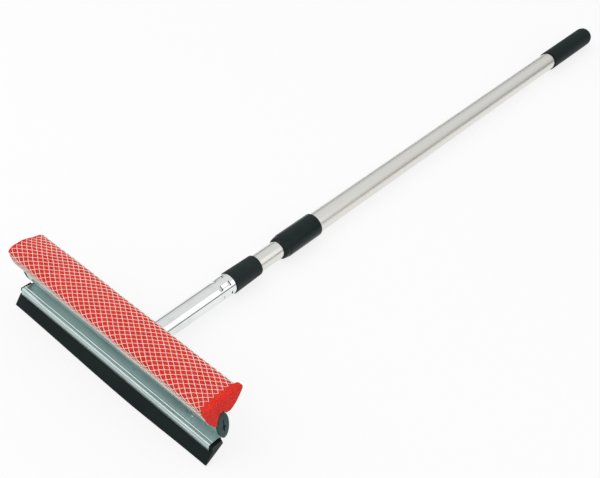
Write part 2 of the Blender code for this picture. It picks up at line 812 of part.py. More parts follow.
def rubber_blade():
    blade = extruded("rubber_blade", rubber_outline(), BLADE_LENGTH, "black_rubber")
    blade.matrix_world = section_matrix()
    return blade


def clamp_path():
    """The strip's middle line: flat under the web, down behind the root, along the wedge, lip out."""
    heel = Vector((BEAD_FORWARD - HEEL_BACK, HEEL_HEIGHT))
    tip = Vector((BEAD_FORWARD + TIP_FORWARD, 0))
    along = (tip - heel).normalized()
    away = Vector((along.y, -along.x))
    stand = GAP + SHEET
    start = heel + away * stand
    end = start + along * CLAMP_REACH
    top = WEB_HEIGHT - SHEET - GAP - SHEET / 2
    back = start.x - SHEET / 2
    return [
        (back + SHEET - CLAMP_TOP_DEPTH, top),
        (back + SHEET, top),
        (back, HEEL_HEIGHT),
        tuple(start),
        tuple(end),
        tuple(end + (along + away).normalized() * CLAMP_LIP),
    ]


def blade_clamp():
    return folded_sheet("blade_clamp", clamp_path(), CHANNEL_LENGTH, SHEET, "zinc_sheet")


def oval_path():
    """The sponge channel's middle line, from its front lip round the bottom to its rear lip."""
    wide = OVAL_HALF_WIDTH - SHEET / 2
    tall = OVAL_HALF_HEIGHT - SHEET / 2
    sweep = 2 * (math.pi - MOUTH_ANGLE)
    angles = [MOUTH_ANGLE + sweep * i / OVAL_STEPS for i in range(OVAL_STEPS + 1)]
    wall = [oval_point(wide, tall, a) for a in angles]
    lip_forward = wide * math.sin(MOUTH_ANGLE) - MOUTH_LIP
    lip_up = tall * math.cos(MOUTH_ANGLE)
    front = [oval_local(lip_forward, lip_up), oval_local(lip_forward + MOUTH_LIP / 2, lip_up + MOUTH_LIP / 2)]
    back = [oval_local(-lip_forward - MOUTH_LIP / 2, lip_up + MOUTH_LIP / 2), oval_local(-lip_forward, lip_up)]
    return front + wall + back


def pad_rivet_centre(side):
    """The middle of the channel's rear wall, where its skin meets the bracket's pad."""
    return head_point(side * PAD_RIVET_SPAN / 2, *oval_local(-OVAL_HALF_WIDTH + SHEET / 2, 0))


def pad_rivet_hole(name, side):
    length = 2 * (SHEET + BRACKET_SHEET) + 2 * CUT_OVERRUN
    return rod(name, RIVET_DIAMETER + 2 * GAP, length, pad_rivet_centre(side), oval_axis(), "zinc_sheet")


def sponge_channel():
    channel = folded_sheet("sponge_channel", oval_path(), CHANNEL_LENGTH, SHEET, "zinc_sheet")
    for side in (-1, 1):
        cut(channel, pad_rivet_hole("pad_hole", side))
    return channel


def sponge_corner(share_back, share_up):
    """A point of the net's outline on the sponge, from shares of the sponge's width and height."""
    front = OVAL_FORWARD + SPONGE_FORWARD
    low = OVAL_HEIGHT + SPONGE_RISE
    return (front - share_back * SPONGE_WIDTH, low + share_up * SPONGE_HEIGHT)


def net_path():
    """The net's middle line: from its front hem beside the rod, round the sponge, to its rear hem."""
    hem = ROD_DIAMETER / 2 + STRAND
    neck = OVAL_HALF_HEIGHT * math.cos(MOUTH_ANGLE) + NECK_RISE
    flare_out, flare_up = NECK_FLARE_SHARES
    front = [
        oval_local(hem, ROD_RISE),
        oval_local(NECK_HALF_WIDTH, neck),
        oval_local(NECK_HALF_WIDTH * flare_out, neck + NECK_RISE * flare_up),
    ]
    back = [oval_local(-NECK_HALF_WIDTH, neck), oval_local(-hem, ROD_RISE)]
    return front + [sponge_corner(*share) for share in SPONGE_SIDE_SHARES] + back


def net_sleeve():
    """Knotted net round the sponge: a diamond lattice, each strand a bar of the wire frame."""
    path = net_path()
    columns = NET_COLUMNS
    left = NET_LEFT_SETBACK - CHANNEL_LENGTH / 2
    cell = (CHANNEL_LENGTH - NET_LEFT_SETBACK - NET_RIGHT_SETBACK) / columns
    mesh = bpy.data.meshes.new("net_sleeve")
    shape = bmesh.new()
    knots = {}
    for row in range(len(path)):
        for column in range(columns + 1):
            if (row + column) % 2 == 0 or column in (0, columns):
                knots[row, column] = shape.verts.new(head_point(left + cell * column, *path[row]))
    for row in range(1, len(path) - 1):
        for column in range(1, columns):
            if (row + column) % 2:
                corners = ((row - 1, column), (row, column + 1), (row + 1, column), (row, column - 1))
                shape.faces.new([knots[corner] for corner in corners])
    for row in range(1, len(path) - 1):
        for column, inner in ((0, 1), (columns, columns - 1)):
            if (row + column) % 2:
                corners = ((row - 1, column), (row, inner), (row + 1, column), (row, column))
                loop = [knots[corner] for corner in corners]
                shape.faces.new(loop if column == 0 else loop[::-1])
    for column in range(1, columns):
        for row, inner in ((0, 1), (len(path) - 1, len(path) - 2)):
            if (row + column) % 2:
                corners = [knots[row, column - 1], knots[inner, column], knots[row, column + 1]]
                shape.faces.new(corners if row == 0 else corners[::-1])
    loose = [vertex for vertex in shape.verts if not vertex.link_faces]
    bmesh.ops.delete(shape, geom=loose, context="VERTS")
    bmesh.ops.recalc_face_normals(shape, faces=shape.faces)
    shape.to_mesh(mesh)
    shape.free()
    obj = add_piece("net_sleeve", mesh, "white_net")
    wire = obj.modifiers.new("strands", "WIREFRAME")
    wire.thickness = STRAND
    wire.offset = 0
    wire.use_boundary = True
    wire.use_even_offset = False
    wire.use_replace = True
    return obj


def sponge_section():
    """The foam's outline inside the net, closed across the neck above the rod."""
    path = net_path()
    rod_top = ROD_RISE + ROD_DIAMETER / 2 + GAP
    neck_end = rod_top + STRAND
    low_front = oval_local(NECK_HALF_WIDTH, neck_end - STRAND / 2 - GAP)
    low_back = oval_local(-NECK_HALF_WIDTH, neck_end - STRAND / 2 - GAP)
    outline = [low_front] + path[1:-1] + [low_back]
    return offset_outline(outline, -(STRAND / 2 + GAP))


def sponge():
    """Foam block with a crowned top, drawn in to a neck that the channel grips. It swells where bare."""
    outline = sponge_section()
    half = SPONGE_LENGTH / 2
    middle = Vector(sponge_corner(*SPONGE_MIDDLE_SHARES))
    right = [(half - SPONGE_BARE * inward, scale) for inward, scale in RIGHT_END_SHARES]
    left = [(SPONGE_EDGE * inward - half, scale) for inward, scale in reversed(LEFT_END_SHARES)]
    stations = right + left
    mesh = bpy.data.meshes.new("sponge")
    shape = bmesh.new()
    rings = []
    for across, scale in stations:
        drawn = [middle + (Vector(point) - middle) * scale for point in outline]
        rings.append([shape.verts.new(head_point(across, *point)) for point in drawn])
    for near, far in zip(rings, rings[1:]):
        for i in range(len(near)):
            after = (i + 1) % len(near)
            shape.faces.new((near[i], near[after], far[after], far[i]))
    shape.faces.new(rings[0])
    shape.faces.new(rings[-1][::-1])
    bmesh.ops.recalc_face_normals(shape, faces=shape.faces)
    shape.to_mesh(mesh)
    shape.free()
    obj = shade(add_piece("sponge", mesh, "red_foam"))
    for side in (-1, 1):
        clearance = cap_plate("cap_room", CAP_RIM + GAP, CAP_FLANGE + CUT_OVERRUN)
        reach = CHANNEL_LENGTH / 2 + (CAP_FLANGE + CUT_OVERRUN) / 2
        clearance.matrix_world = section_matrix(side * reach)
        cut(obj, clearance)
    return obj


def sponge_rod():
    """The steel rod that the net's hems wrap round inside the channel."""
    length = CHANNEL_LENGTH - 2 * (CAP_SPIGOT + GAP)
    centre = head_point(0, *oval_local(0, ROD_RISE))
    return shade(rod("sponge_rod", ROD_DIAMETER, length, centre, (1, 0, 0), "bright_steel"))


def cap_plate(name, rim, width):
    """A slice of the oval, wider than the channel by the rim."""
    angles = [2 * math.pi * i / CAP_STEPS for i in range(CAP_STEPS)]
    wide = OVAL_HALF_WIDTH + rim
    tall = OVAL_HALF_HEIGHT + rim
    outline = [oval_point(wide, tall, a) for a in angles]
    return extruded(name, outline, width, "black_plastic")


def end_cap(name, side):
    """The oval plastic cap: a bevelled flange with a slot and recess, and a spigot in the channel."""
    flange_start = CHANNEL_LENGTH / 2 + GAP
    cap = cap_plate(name, CAP_RIM, CAP_FLANGE)
    cap.matrix_world = section_matrix(side * (flange_start + CAP_FLANGE / 2))
    bevel = cap.modifiers.new("rounded rim", "BEVEL")
    bevel.width = CAP_BEVEL
    bevel.segments = 2
    bevel.limit_method = "ANGLE"
    bevel.angle_limit = math.radians(50)
    join(cap, cap_spigot(side))
    face = flange_start + CAP_FLANGE
    slot_centre = head_point(side * face, *oval_local(0, 0))
    slot = block("cap_slot", (2 * CAP_SLOT_DEPTH, CAP_SLOT_WIDTH, CAP_SLOT_LENGTH), slot_centre)
    slot.rotation_euler = (OVAL_LEAN, 0, 0)
    cut(cap, slot)
    recess_centre = head_point(side * face, *oval_local(0, -CAP_RECESS_DROP))
    recess = rod(
        "cap_recess", CAP_RECESS_DIAMETER, 2 * CAP_RECESS_DEPTH, recess_centre, (1, 0, 0), "black_plastic"
    )
    return cut(cap, recess)


def cap_spigot(side):
    """The part of the cap inside the channel, below the rod and the net's hems."""
    wide = OVAL_HALF_WIDTH - SHEET - GAP
    tall = OVAL_HALF_HEIGHT - SHEET - GAP
    first = math.acos((ROD_RISE - STRAND - GAP) / tall)
    sweep = 2 * (math.pi - first)
    angles = [first + sweep * i / OVAL_STEPS for i in range(OVAL_STEPS + 1)]
    outline = [oval_point(wide, tall, a) for a in angles]
    length = CAP_SPIGOT + GAP + CAP_FLANGE / 2
    spigot = extruded("cap_spigot", outline, length, "black_plastic")
    inner = CHANNEL_LENGTH / 2 - CAP_SPIGOT
    spigot.matrix_world = section_matrix(side * (inner + length / 2))
    return spigot


def bracket_path():
    """The bracket's middle line: up behind the ferrule's end, forward over the web, up the channel."""
    back = BRACKET_SHEET / 2
    stand = OVAL_HALF_WIDTH + GAP + BRACKET_SHEET / 2
    pad_low = oval_local(-stand, -BRACKET_PAD / 2)
    pad_high = oval_local(-stand, BRACKET_PAD / 2)
    return [
        (back, AXIS_HEIGHT - FERRULE_FRONT_DIAMETER / 2),
        (back, BRACKET_BEND_HEIGHT - BRACKET_SHEET / 2),
        (back + BRACKET_SHEET / 2, BRACKET_BEND_HEIGHT),
        (pad_low[0] - BRACKET_SHEET / 4, pad_low[1] - BRACKET_SHEET),
        pad_low,
        pad_high,
    ]


def head_bracket():
    """Pressed steel: a back plate with a stub in the ferrule, two ears under the web, a riveted pad."""
    bracket = folded_sheet("head_bracket", bracket_path(), BRACKET_WIDTH, BRACKET_SHEET, "bright_steel")
    ear_top = WEB_HEIGHT - SHEET - GAP
    low = ear_top - BRACKET_SHEET
    foot = AXIS_HEIGHT - FERRULE_FRONT_DIAMETER / 2 - CUT_OVERRUN
    side_width = (BRACKET_WIDTH - BRACKET_NECK_WIDTH) / 2 + CUT_OVERRUN
    for side in (-1, 1):
        across = side * (BRACKET_NECK_WIDTH / 2 + side_width / 2)
        size = (side_width, BRACKET_SHEET + 2 * CUT_OVERRUN, low - foot)
        centre = head_point(across, BRACKET_SHEET / 2, (low + foot) / 2)
        cut(bracket, block("plate_side", size, centre))
    for side in (-1, 1):
        join(bracket, bracket_ear(side, ear_top))
    join(bracket, bracket_stub())
    for side in (-1, 1):
        cut(bracket, ear_rivet_hole("ear_hole", side))
        cut(bracket, pad_rivet_hole("bracket_pad_hole", side))
    return bracket


def bracket_ear(side, top):
    """A flat ear under the web's tongue, with rounded front corners."""
    depth = EAR_DEPTH + BRACKET_SHEET
    half = EAR_WIDTH / 2
    corner = BRACKET_CORNER
    outline = (
        [(-half, 0), (half, 0)]
        + arc((half - corner, depth - corner), corner, 0, math.pi / 2, ARC_STEPS)
        + arc((corner - half, depth - corner), corner, math.pi / 2, math.pi, ARC_STEPS)
    )
    ear = extruded("bracket_ear", outline, BRACKET_SHEET, "bright_steel")
    across = side * (BRACKET_WIDTH / 2 - EAR_WIDTH / 2)
    turn = Matrix.Rotation(math.pi, 4, "Z")
    place = head_point(across, 0, top - BRACKET_SHEET / 2)
    ear.matrix_world = Matrix.Translation(place) @ turn
    return ear


def bracket_stub():
    outer = FERRULE_FRONT_DIAMETER / 2 - FERRULE_WALL - GAP
    bore = outer - STUB_WALL
    profile = [(outer, STUB_LENGTH), (outer, -WELD_LAP), (bore, -WELD_LAP), (bore, STUB_LENGTH)]
    return turned_on_pole("bracket_stub", profile, "bright_steel")


def rivet(name, centre, direction, grip_length):
    """A domed head, a shank and a flatter tail, along its own Z, its head at the top."""
    head = RIVET_HEAD_DIAMETER / 2
    shank = RIVET_DIAMETER / 2
    tail = RIVET_TAIL_DIAMETER / 2
    top = grip_length / 2 + GAP
    profile = [
        (0, top + RIVET_HEAD_HEIGHT),
        *[(head * out, top + RIVET_HEAD_HEIGHT * up) for out, up in RIVET_DOME_SHARES],
        (head, top),
        (shank, top),
        (shank, -top),
        (tail, -top),
        (tail * RIVET_TAIL_SHARE, -top - RIVET_TAIL_HEIGHT),
        (0, -top - RIVET_TAIL_HEIGHT),
    ]
    obj = turned(name, profile, "bright_steel", SMALL_STEPS)
    turn = Vector((0, 0, 1)).rotation_difference(Vector(direction)).to_matrix().to_4x4()
    obj.matrix_world = Matrix.Translation(centre) @ turn
    return obj


def rivets():
    stack = SHEET + GAP + BRACKET_SHEET
    top = WEB_HEIGHT - stack / 2
    rivet("ear_rivet_left", ear_rivet_place(-1, top), (0, 0, 1), stack)
    rivet("ear_rivet_right", ear_rivet_place(1, top), (0, 0, 1), stack)
    back = -OVAL_HALF_WIDTH + SHEET - stack / 2
    for side, name in ((-1, "pad_rivet_left"), (1, "pad_rivet_right")):
        centre = head_point(side * PAD_RIVET_SPAN / 2, *oval_local(back, 0))
        rivet(name, centre, oval_axis(), stack)


def build():
    clear_scene()
    make_collection("telescopic_squeegee")
    make_collection("cutters")
    outer_tube()
    lock_sleeve()
    grip()
    expander_ring()
    inner_tube()
    lock_plug()
    plug_pin()
    lock_washer()
    lock_screw()
    ferrule()
    socket_collar()
    head_bracket()
    rivets()
    blade_channel()
    blade_clamp()
    rubber_blade()
    sponge_channel()
    sponge_rod()
    sponge()
    net_sleeve()
    end_cap("end_cap_left", -1)
    end_cap("end_cap_right", 1)


build()
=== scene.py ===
"""Looks of the telescopic squeegee: finishes, foam, net and studio round its fixed frame.

Every length is in metres, in the frame's own axes: +Z up, +Y from the head to the grip."""

import bisect
import json
import math

import bmesh
import bpy
from mathutils import Matrix, Vector, noise

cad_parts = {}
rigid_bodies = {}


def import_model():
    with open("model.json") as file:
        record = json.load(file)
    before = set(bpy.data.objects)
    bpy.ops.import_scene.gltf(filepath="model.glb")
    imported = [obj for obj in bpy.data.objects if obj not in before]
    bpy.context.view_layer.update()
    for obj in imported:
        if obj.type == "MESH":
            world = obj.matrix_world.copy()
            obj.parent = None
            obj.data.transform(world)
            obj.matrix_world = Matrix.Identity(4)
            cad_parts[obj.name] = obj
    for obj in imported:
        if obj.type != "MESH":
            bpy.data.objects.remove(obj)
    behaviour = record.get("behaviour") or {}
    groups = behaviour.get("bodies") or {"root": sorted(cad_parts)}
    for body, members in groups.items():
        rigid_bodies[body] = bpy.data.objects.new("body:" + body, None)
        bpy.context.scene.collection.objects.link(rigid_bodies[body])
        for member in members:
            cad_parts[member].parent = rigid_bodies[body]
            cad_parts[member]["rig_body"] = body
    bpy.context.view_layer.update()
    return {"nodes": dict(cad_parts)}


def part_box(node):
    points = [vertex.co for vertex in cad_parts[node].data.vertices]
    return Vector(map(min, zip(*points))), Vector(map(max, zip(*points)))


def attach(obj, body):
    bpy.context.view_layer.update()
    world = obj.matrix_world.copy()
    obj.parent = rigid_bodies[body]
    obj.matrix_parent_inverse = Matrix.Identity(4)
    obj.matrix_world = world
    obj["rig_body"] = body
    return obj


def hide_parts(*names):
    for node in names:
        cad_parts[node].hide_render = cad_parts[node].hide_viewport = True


bl_info = {
    "name": "Telescopic squeegee looks",
    "version": (1, 0, 0),
    "blender": (4, 5, 0),
    "location": "View3D > Sidebar > Squeegee",
    "description": "Dresses the telescopic squeegee with its foam, net, metals and plastics",
    "category": "Object",
}

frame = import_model()
BOX = {name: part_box(name) for name in frame["nodes"]}

# Shared fits and mesh steps
GAP = 0.0003
MERGE = 0.00001
CUT_OVERRUN = 0.001
QUARTER = math.pi / 2
SHARP_ANGLE = math.radians(38)
FLAT_ANGLE = math.radians(0.6)
CUTTER_SIDES = 32

# Tubes and the pole's axis, from the frame
POLE_LOW, POLE_HIGH = BOX["outer_tube"]
POLE_HEIGHT = (POLE_LOW.z + POLE_HIGH.z) / 2
TUBE_EDGE = 0.00025
TUBE_STEP = 0.03
OUTER_WALL = 0.0009
INNER_WALL = 0.0008

# Grip and lock sleeve
GRIP_DOME = 0.0085
GRIP_FLAT = 0.0047
GRIP_EDGE = 0.0007
GRIP_SEAM = 0.00012
GRIP_SEAM_HALF_WIDTH = 0.00048
DOME_STEPS = 13
SLEEVE_NOSE = 0.0080
SLEEVE_HOLD = 0.00416
SLEEVE_TIP = 0.0008
SLEEVE_STEP = 0.0006
SLEEVE_LIP = 0.0008
SLEEVE_ROUND = 0.0022
SLEEVE_BACK_EDGE = 0.0008
SLEEVE_STEP_EDGE = 0.0005
SLEEVE_STEP_ROOT = 0.0004
SLEEVE_BORE_EDGE = 0.0002
SLEEVE_MARK_RADIUS = 0.0013
SLEEVE_MARK_DEPTH = 0.0004
SLEEVE_MARK_SETBACK = 0.0112

# Chrome ferrule: pairs of slits whose strips are pressed in on the tube
FERRULE_WALL = 0.0006
FERRULE_FRONT_RADIUS = 0.0106
FERRULE_ROW = 0.004
LANCE_COUNT = 6
LANCE_ANGLE = math.radians(55)
LANCE_SPAN = math.radians(27)
LANCE_SLIT = 0.0010
LANCE_STRIP = 0.0094
LANCE_SETBACK = 0.0057
LANCE_DEPTH = 0.00045
LANCE_CURVE = 1.4
LANCE_ROWS = 6
LANCE_COLUMNS = 40
FERRULE_EDGE = 0.00008
FERRULE_SHARP = math.radians(50)

# Ribbed collar
COLLAR_BACK_RADIUS = 0.01095
COLLAR_RIBS = 54
COLLAR_RIB_DEPTH = 0.00018
COLLAR_RIB_FACETS = 6
COLLAR_EDGE = 0.0007
COLLAR_BACK_EDGE = 0.00112
COLLAR_BORE_EDGE = 0.000175
COLLAR_RIM = 0.0016

# Head's section: places are forward of the bracket's back, and above the floor
HEAD_BACK = BOX["ferrule"][0].y - GAP
OVAL_PLACE = Vector((0.0163, 0.03754))
OVAL_HALF_WIDTH = 0.0058
OVAL_HALF_HEIGHT = 0.0180
OVAL_LEAN = math.radians(8)
CHANNEL_HALF = 0.1240

# Sponge's outline as shares of its width and height, from its lower front corner: from the
# front of its neck over the top to the back of its neck, where netted and at its bare right end
SPONGE_CORNER = Vector((0.0344, 0.05004))
SPONGE_WIDTH = 0.0377
SPONGE_HEIGHT = 0.0200
SPONGE_MIDDLE = Vector((0.0183, 0.0530))
NETTED_SHARES = (
    (0.400, -0.343),
    (0.394, -0.126),
    (0.325, -0.030),
    (0.145, 0.030),
    (0.058, 0.290),
    (0.017, 0.550),
    (0.002, 0.805),
    (0.106, 0.950),
    (0.260, 0.985),
    (0.419, 0.995),
    (0.578, 0.990),
    (0.735, 0.965),
    (0.886, 0.920),
    (1.000, 0.770),
    (0.955, 0.510),
    (0.862, 0.290),
    (0.748, 0.090),
    (0.602, -0.030),
    (0.500, -0.095),
    (0.516, -0.313),
)
BARE_SHARES = (
    (0.302, -0.363),
    (0.218, -0.333),
    (0.143, -0.103),
    (0.085, 0.050),
    (0.030, 0.300),
    (0.002, 0.600),
    (0.000, 0.900),
    (0.050, 1.020),
    (0.260, 1.045),
    (0.419, 1.055),
    (0.578, 1.055),
    (0.735, 1.080),
    (0.940, 1.110),
    (1.030, 0.990),
    (0.965, 0.600),
    (0.860, 0.300),
    (0.700, 0.030),
    (0.560, 0.060),
    (0.515, -0.053),
    (0.509, -0.253),
)
OUTLINE_STEPS = 10
BARE_START = 0.1186
BARE_END = 0.1231

# The left end's top stands higher than the rest towards its front
LIFT = 0.0041
LIFT_START = -0.062
LIFT_SPAN = 0.085
LIFT_BACK = 0.0030
LIFT_DEPTH = 0.0190
LIFT_LOW = 0.0500
LIFT_RISE = 0.0140

# Net between two places along the head. Its rows drift and its columns lean, by shares of the way
NET_LEFT = -0.1246
NET_RIGHT = 0.1196
CAP_ROOM = 0.0008
KNOT_SWELL = 0.28
KNOT_SPREAD = 0.0008
SWAY_LENGTH = 0.011
SWAY = 0.00025
SWAY_SEED = 7
ROW_DRIFT = 0.055
COLUMN_LEAN = -0.081
DRIFT_FADE = 0.014
WAVE_LENGTH = 0.045
WAVE_HEIGHT = 0.00035
WAVE_LAYER = 0.01
SWAY_LAYER = 0.05
HEM_CORNER = 3
HEM_ABOVE = 0.0003
HEM_RADIUS = 0.00062
HEM_TIP = 0.55
HEM_STEP = 0.0012
HEM_SIDES = 10

# Foam: pressed in under the strands, swollen between them, with worn edges at its ends
FOAM_UNDER = 0.00040
FOAM_STEPS = 3
STATION_CLEARANCE = 0.3
FOAM_LEFT_ROUND = 0.0023
FOAM_RIGHT_ROUND = 0.0013
FOAM_EDGE_STEPS = 5
FOAM_FACE_STEPS = 14
FOAM_FADE = 0.0020
ROUGH_LENGTH = 0.0022
ROUGH_HEIGHT = 0.00016
ROUGH_LAYER = 0.03

# Blade channel: a folded sheet. Its folds are forward, height and rounding of the middle line, from
# the web over a ridge and a groove to the bead's top, the crease in it and its front
SHEET = 0.0008
CHANNEL_EDGE = 0.00012
WEB_REAR = 0.0119
WEB_TOP = 0.0194
WEB_STEP = 0.0006
WEB_FRONT = 0.0240
FOLDS = (
    (0.0240, 0.01900, 0.0001),
    (0.0244, 0.01925, 0.0002),
    (0.0248, 0.01905, 0.0001),
    (0.0252, 0.01862, 0.0002),
    (0.0256, 0.01885, 0.0002),
    (0.0263, 0.01915, 0.0005),
    (0.0278, 0.01890, 0.0004),
    (0.0280, 0.01860, 0.0001),
    (0.0283, 0.01850, 0.0002),
    (0.0289, 0.01780, 0.0008),
    (0.0293, 0.01640, 0.0012),
    (0.0292, 0.01420, 0.0010),
    (0.0290, 0.01230, 0.0),
)
CHANNEL_STEP = 0.0040
MARK_STEP = 0.0005
MARK_SPANS = ((-0.1240, -0.1140), (0.0185, 0.0235), (0.0850, 0.0960))
TONGUE_HALF = 0.026
TONGUE_DEPTH = 0.0100
TONGUE_FILLET = 0.004
TONGUE_CORNER = 0.003
TONGUE_LAP = 0.0006
RIVET_HOLE_RADIUS = 0.0019
EAR_RIVET_HALF_SPAN = 0.01825

# Rubber blade: its free edge bows forward
RUBBER_EDGE = 0.0002
BOW = 0.0021
BOW_PEAK = 0.028
BOW_ROOT = 0.0112
BOW_STEPS = 24

# Marks pressed in the web: a crimp at the left end, and round dents by place and share of its width
CRIMP_PLACE = -0.1170
CRIMP_BOW = 0.0016
CRIMP_DEPTH = 0.0007
CRIMP_BLEND = 0.0009
DENTS = ((0.0210, 0.50), (0.0875, 0.42), (0.0932, 0.62))
DENT_RADIUS = 0.0019
DENT_DEPTH = 0.00050

# Studio: each lamp has a place, a target and a width, and the room's stops are height and level
CAMERA_PLACE = Vector((0.4516, -0.7547, 0.6735))
CAMERA_YAW = math.radians(37.65)
CAMERA_DROP = math.radians(42.11)
CAMERA_ROLL = math.radians(5.93)
CAMERA_LENS = 57.81
CAMERA_NEAR = 0.01
KEY_LAMP = ((-0.9, -1.0, 1.5), (0, -0.1, 0), 2.2)
FILL_LAMP = ((1.5, 0.2, 1.1), (0, 0, 0), 1.7)
ROOM_STOPS = ((0.0, 1.0), (0.50, 1.0), (0.505, 0.28), (0.58, 0.30), (0.64, 0.75), (0.80, 0.95), (1.0, 1.0))
FLOOR_SIZE = 14.0
FLOOR_DROP = 0.0002
FLOOR_RAYS = ("Is Camera Ray", "Is Glossy Ray", "Is Transmission Ray")
FLOOR_GLOW = 0.80
WHITE = (1.0, 1.0, 1.0)

# Pieces that keep the frame's own shape: their finish, and how far their sharp edges are eased
RIGID_PIECES = {
    "blade_clamp": ("zinc_sheet", 0.00012),
    "sponge_channel": ("zinc_sheet", 0.00012),
    "head_bracket": ("bright_steel", 0.00022),
    "ear_rivet_left": ("bright_steel", 0.00015),
    "ear_rivet_right": ("bright_steel", 0.00015),
    "pad_rivet_left": ("bright_steel", 0.00015),
    "pad_rivet_right": ("bright_steel", 0.00015),
    "end_cap_left": ("cap_plastic", 0.00018),
    "end_cap_right": ("cap_plastic", 0.00018),
}
# Pieces out of sight, carried over as they are: their finish
INNER_PIECES = {
    "sponge_rod": "bright_steel",
    "plug_pin": "bright_steel",
    "lock_washer": "bright_steel",
    "lock_screw": "bright_steel",
    "lock_plug": "lock_plastic",
    "expander_ring": "lock_plastic",
}


def length_property(name, description, default, least):
    """A length that a user can set."""
    limits = {"default": default, "min": least}
    return bpy.props.FloatProperty(name=name, description=description, unit="LENGTH", **limits)


def colour_property(name, description, default):
    """A colour that a user can set."""
    return bpy.props.FloatVectorProperty(name=name, description=description, default=default, subtype="COLOR")


def level_property(name, description, default, kind="NONE"):
    """A lamp's power or a light's strength that a user can set."""
    return bpy.props.FloatProperty(name=name, description=description, default=default, min=0.0, subtype=kind)


class SqueegeeSizes(bpy.types.PropertyGroup):
    """Sizes of the net, the foam and the fine meshes."""

    round_steps: bpy.props.IntProperty(
        name="Round steps", description="Facets round a tube or a sleeve", default=120, min=24, max=360
    )
    cell_length: length_property("Cell length", "Width of one net cell along the sponge", 0.00706, 0.003)
    cell_height: length_property("Cell height", "Width of one net cell round the sponge", 0.0053, 0.003)
    strand: length_property("Strand", "Thickness of a net strand", 0.000729, 0.0001)
    bulge: length_property("Bulge", "How far the foam swells in a cell", 0.0004, 0.0)


class SqueegeeColours(bpy.types.PropertyGroup):
    """Colours of the finishes."""

    foam: colour_property("Foam", "Open-cell foam", (0.92, 0.036, 0.018))
    # Painted shade: a darker copy of the foam's red, put in its pores where shade falls
    foam_pore_shade: colour_property("Foam pore", "Foam in its pores", (0.52, 0.010, 0.008))
    net: colour_property("Net", "Knotted nylon", (0.90, 0.84, 0.78))
    hem: colour_property("Hem", "Cord in the net's hem", (0.80, 0.70, 0.58))
    aluminium: colour_property("Aluminium", "Satin tube", (0.78, 0.78, 0.75))
    chrome: colour_property("Chrome", "Plated ferrule", (0.84, 0.86, 0.86))
    zinc: colour_property("Zinc sheet", "Channels and clamp strip", (0.47, 0.58, 0.57))
    steel: colour_property("Steel", "Bracket, rivets and rod", (0.60, 0.61, 0.60))
    plastic: colour_property("Black plastic", "Grip, sleeve and collar", (0.008, 0.016, 0.015))
    cap: colour_property("Cap plastic", "End caps of the sponge channel", (0.030, 0.062, 0.057))
    rubber: colour_property("Rubber", "Wiping blade", (0.0045, 0.0105, 0.0098))
    lock: colour_property("Lock plastic", "Hidden twist lock", (0.55, 0.54, 0.50))


class SqueegeeStudio(bpy.types.PropertyGroup):
    """Light and floor."""

    key_power: level_property("Key lamp", "Power of the large lamp", 14.0, "POWER")
    fill_power: level_property("Fill lamp", "Power of the side lamp", 5.0, "POWER")
    sky: level_property("Room light", "Strength of the room's own light", 0.85)
    floor: colour_property("Floor", "Plain pale floor", (0.86, 0.87, 0.87))


class Link:
    """An output of a shader node. Maths on it adds the Math nodes that work it out."""

    def __init__(self, finish, socket):
        self.finish = finish
        self.socket = socket

    def maths(self, operation, *values):
        return self.finish.add("ShaderNodeMath", {"operation": operation}, dict(enumerate(values)))

    def __add__(self, other):
        return self.maths("ADD", self, other)

    def __radd__(self, other):
        return self.maths("ADD", other, self)

    def __sub__(self, other):
        return self.maths("SUBTRACT", self, other)

    def __rsub__(self, other):
        return self.maths("SUBTRACT", other, self)

    def __mul__(self, other):
        return self.maths("MULTIPLY", self, other)

    def __rmul__(self, other):
        return self.maths("MULTIPLY", other, self)

    def __pow__(self, other):
        return self.maths("POWER", self, other)


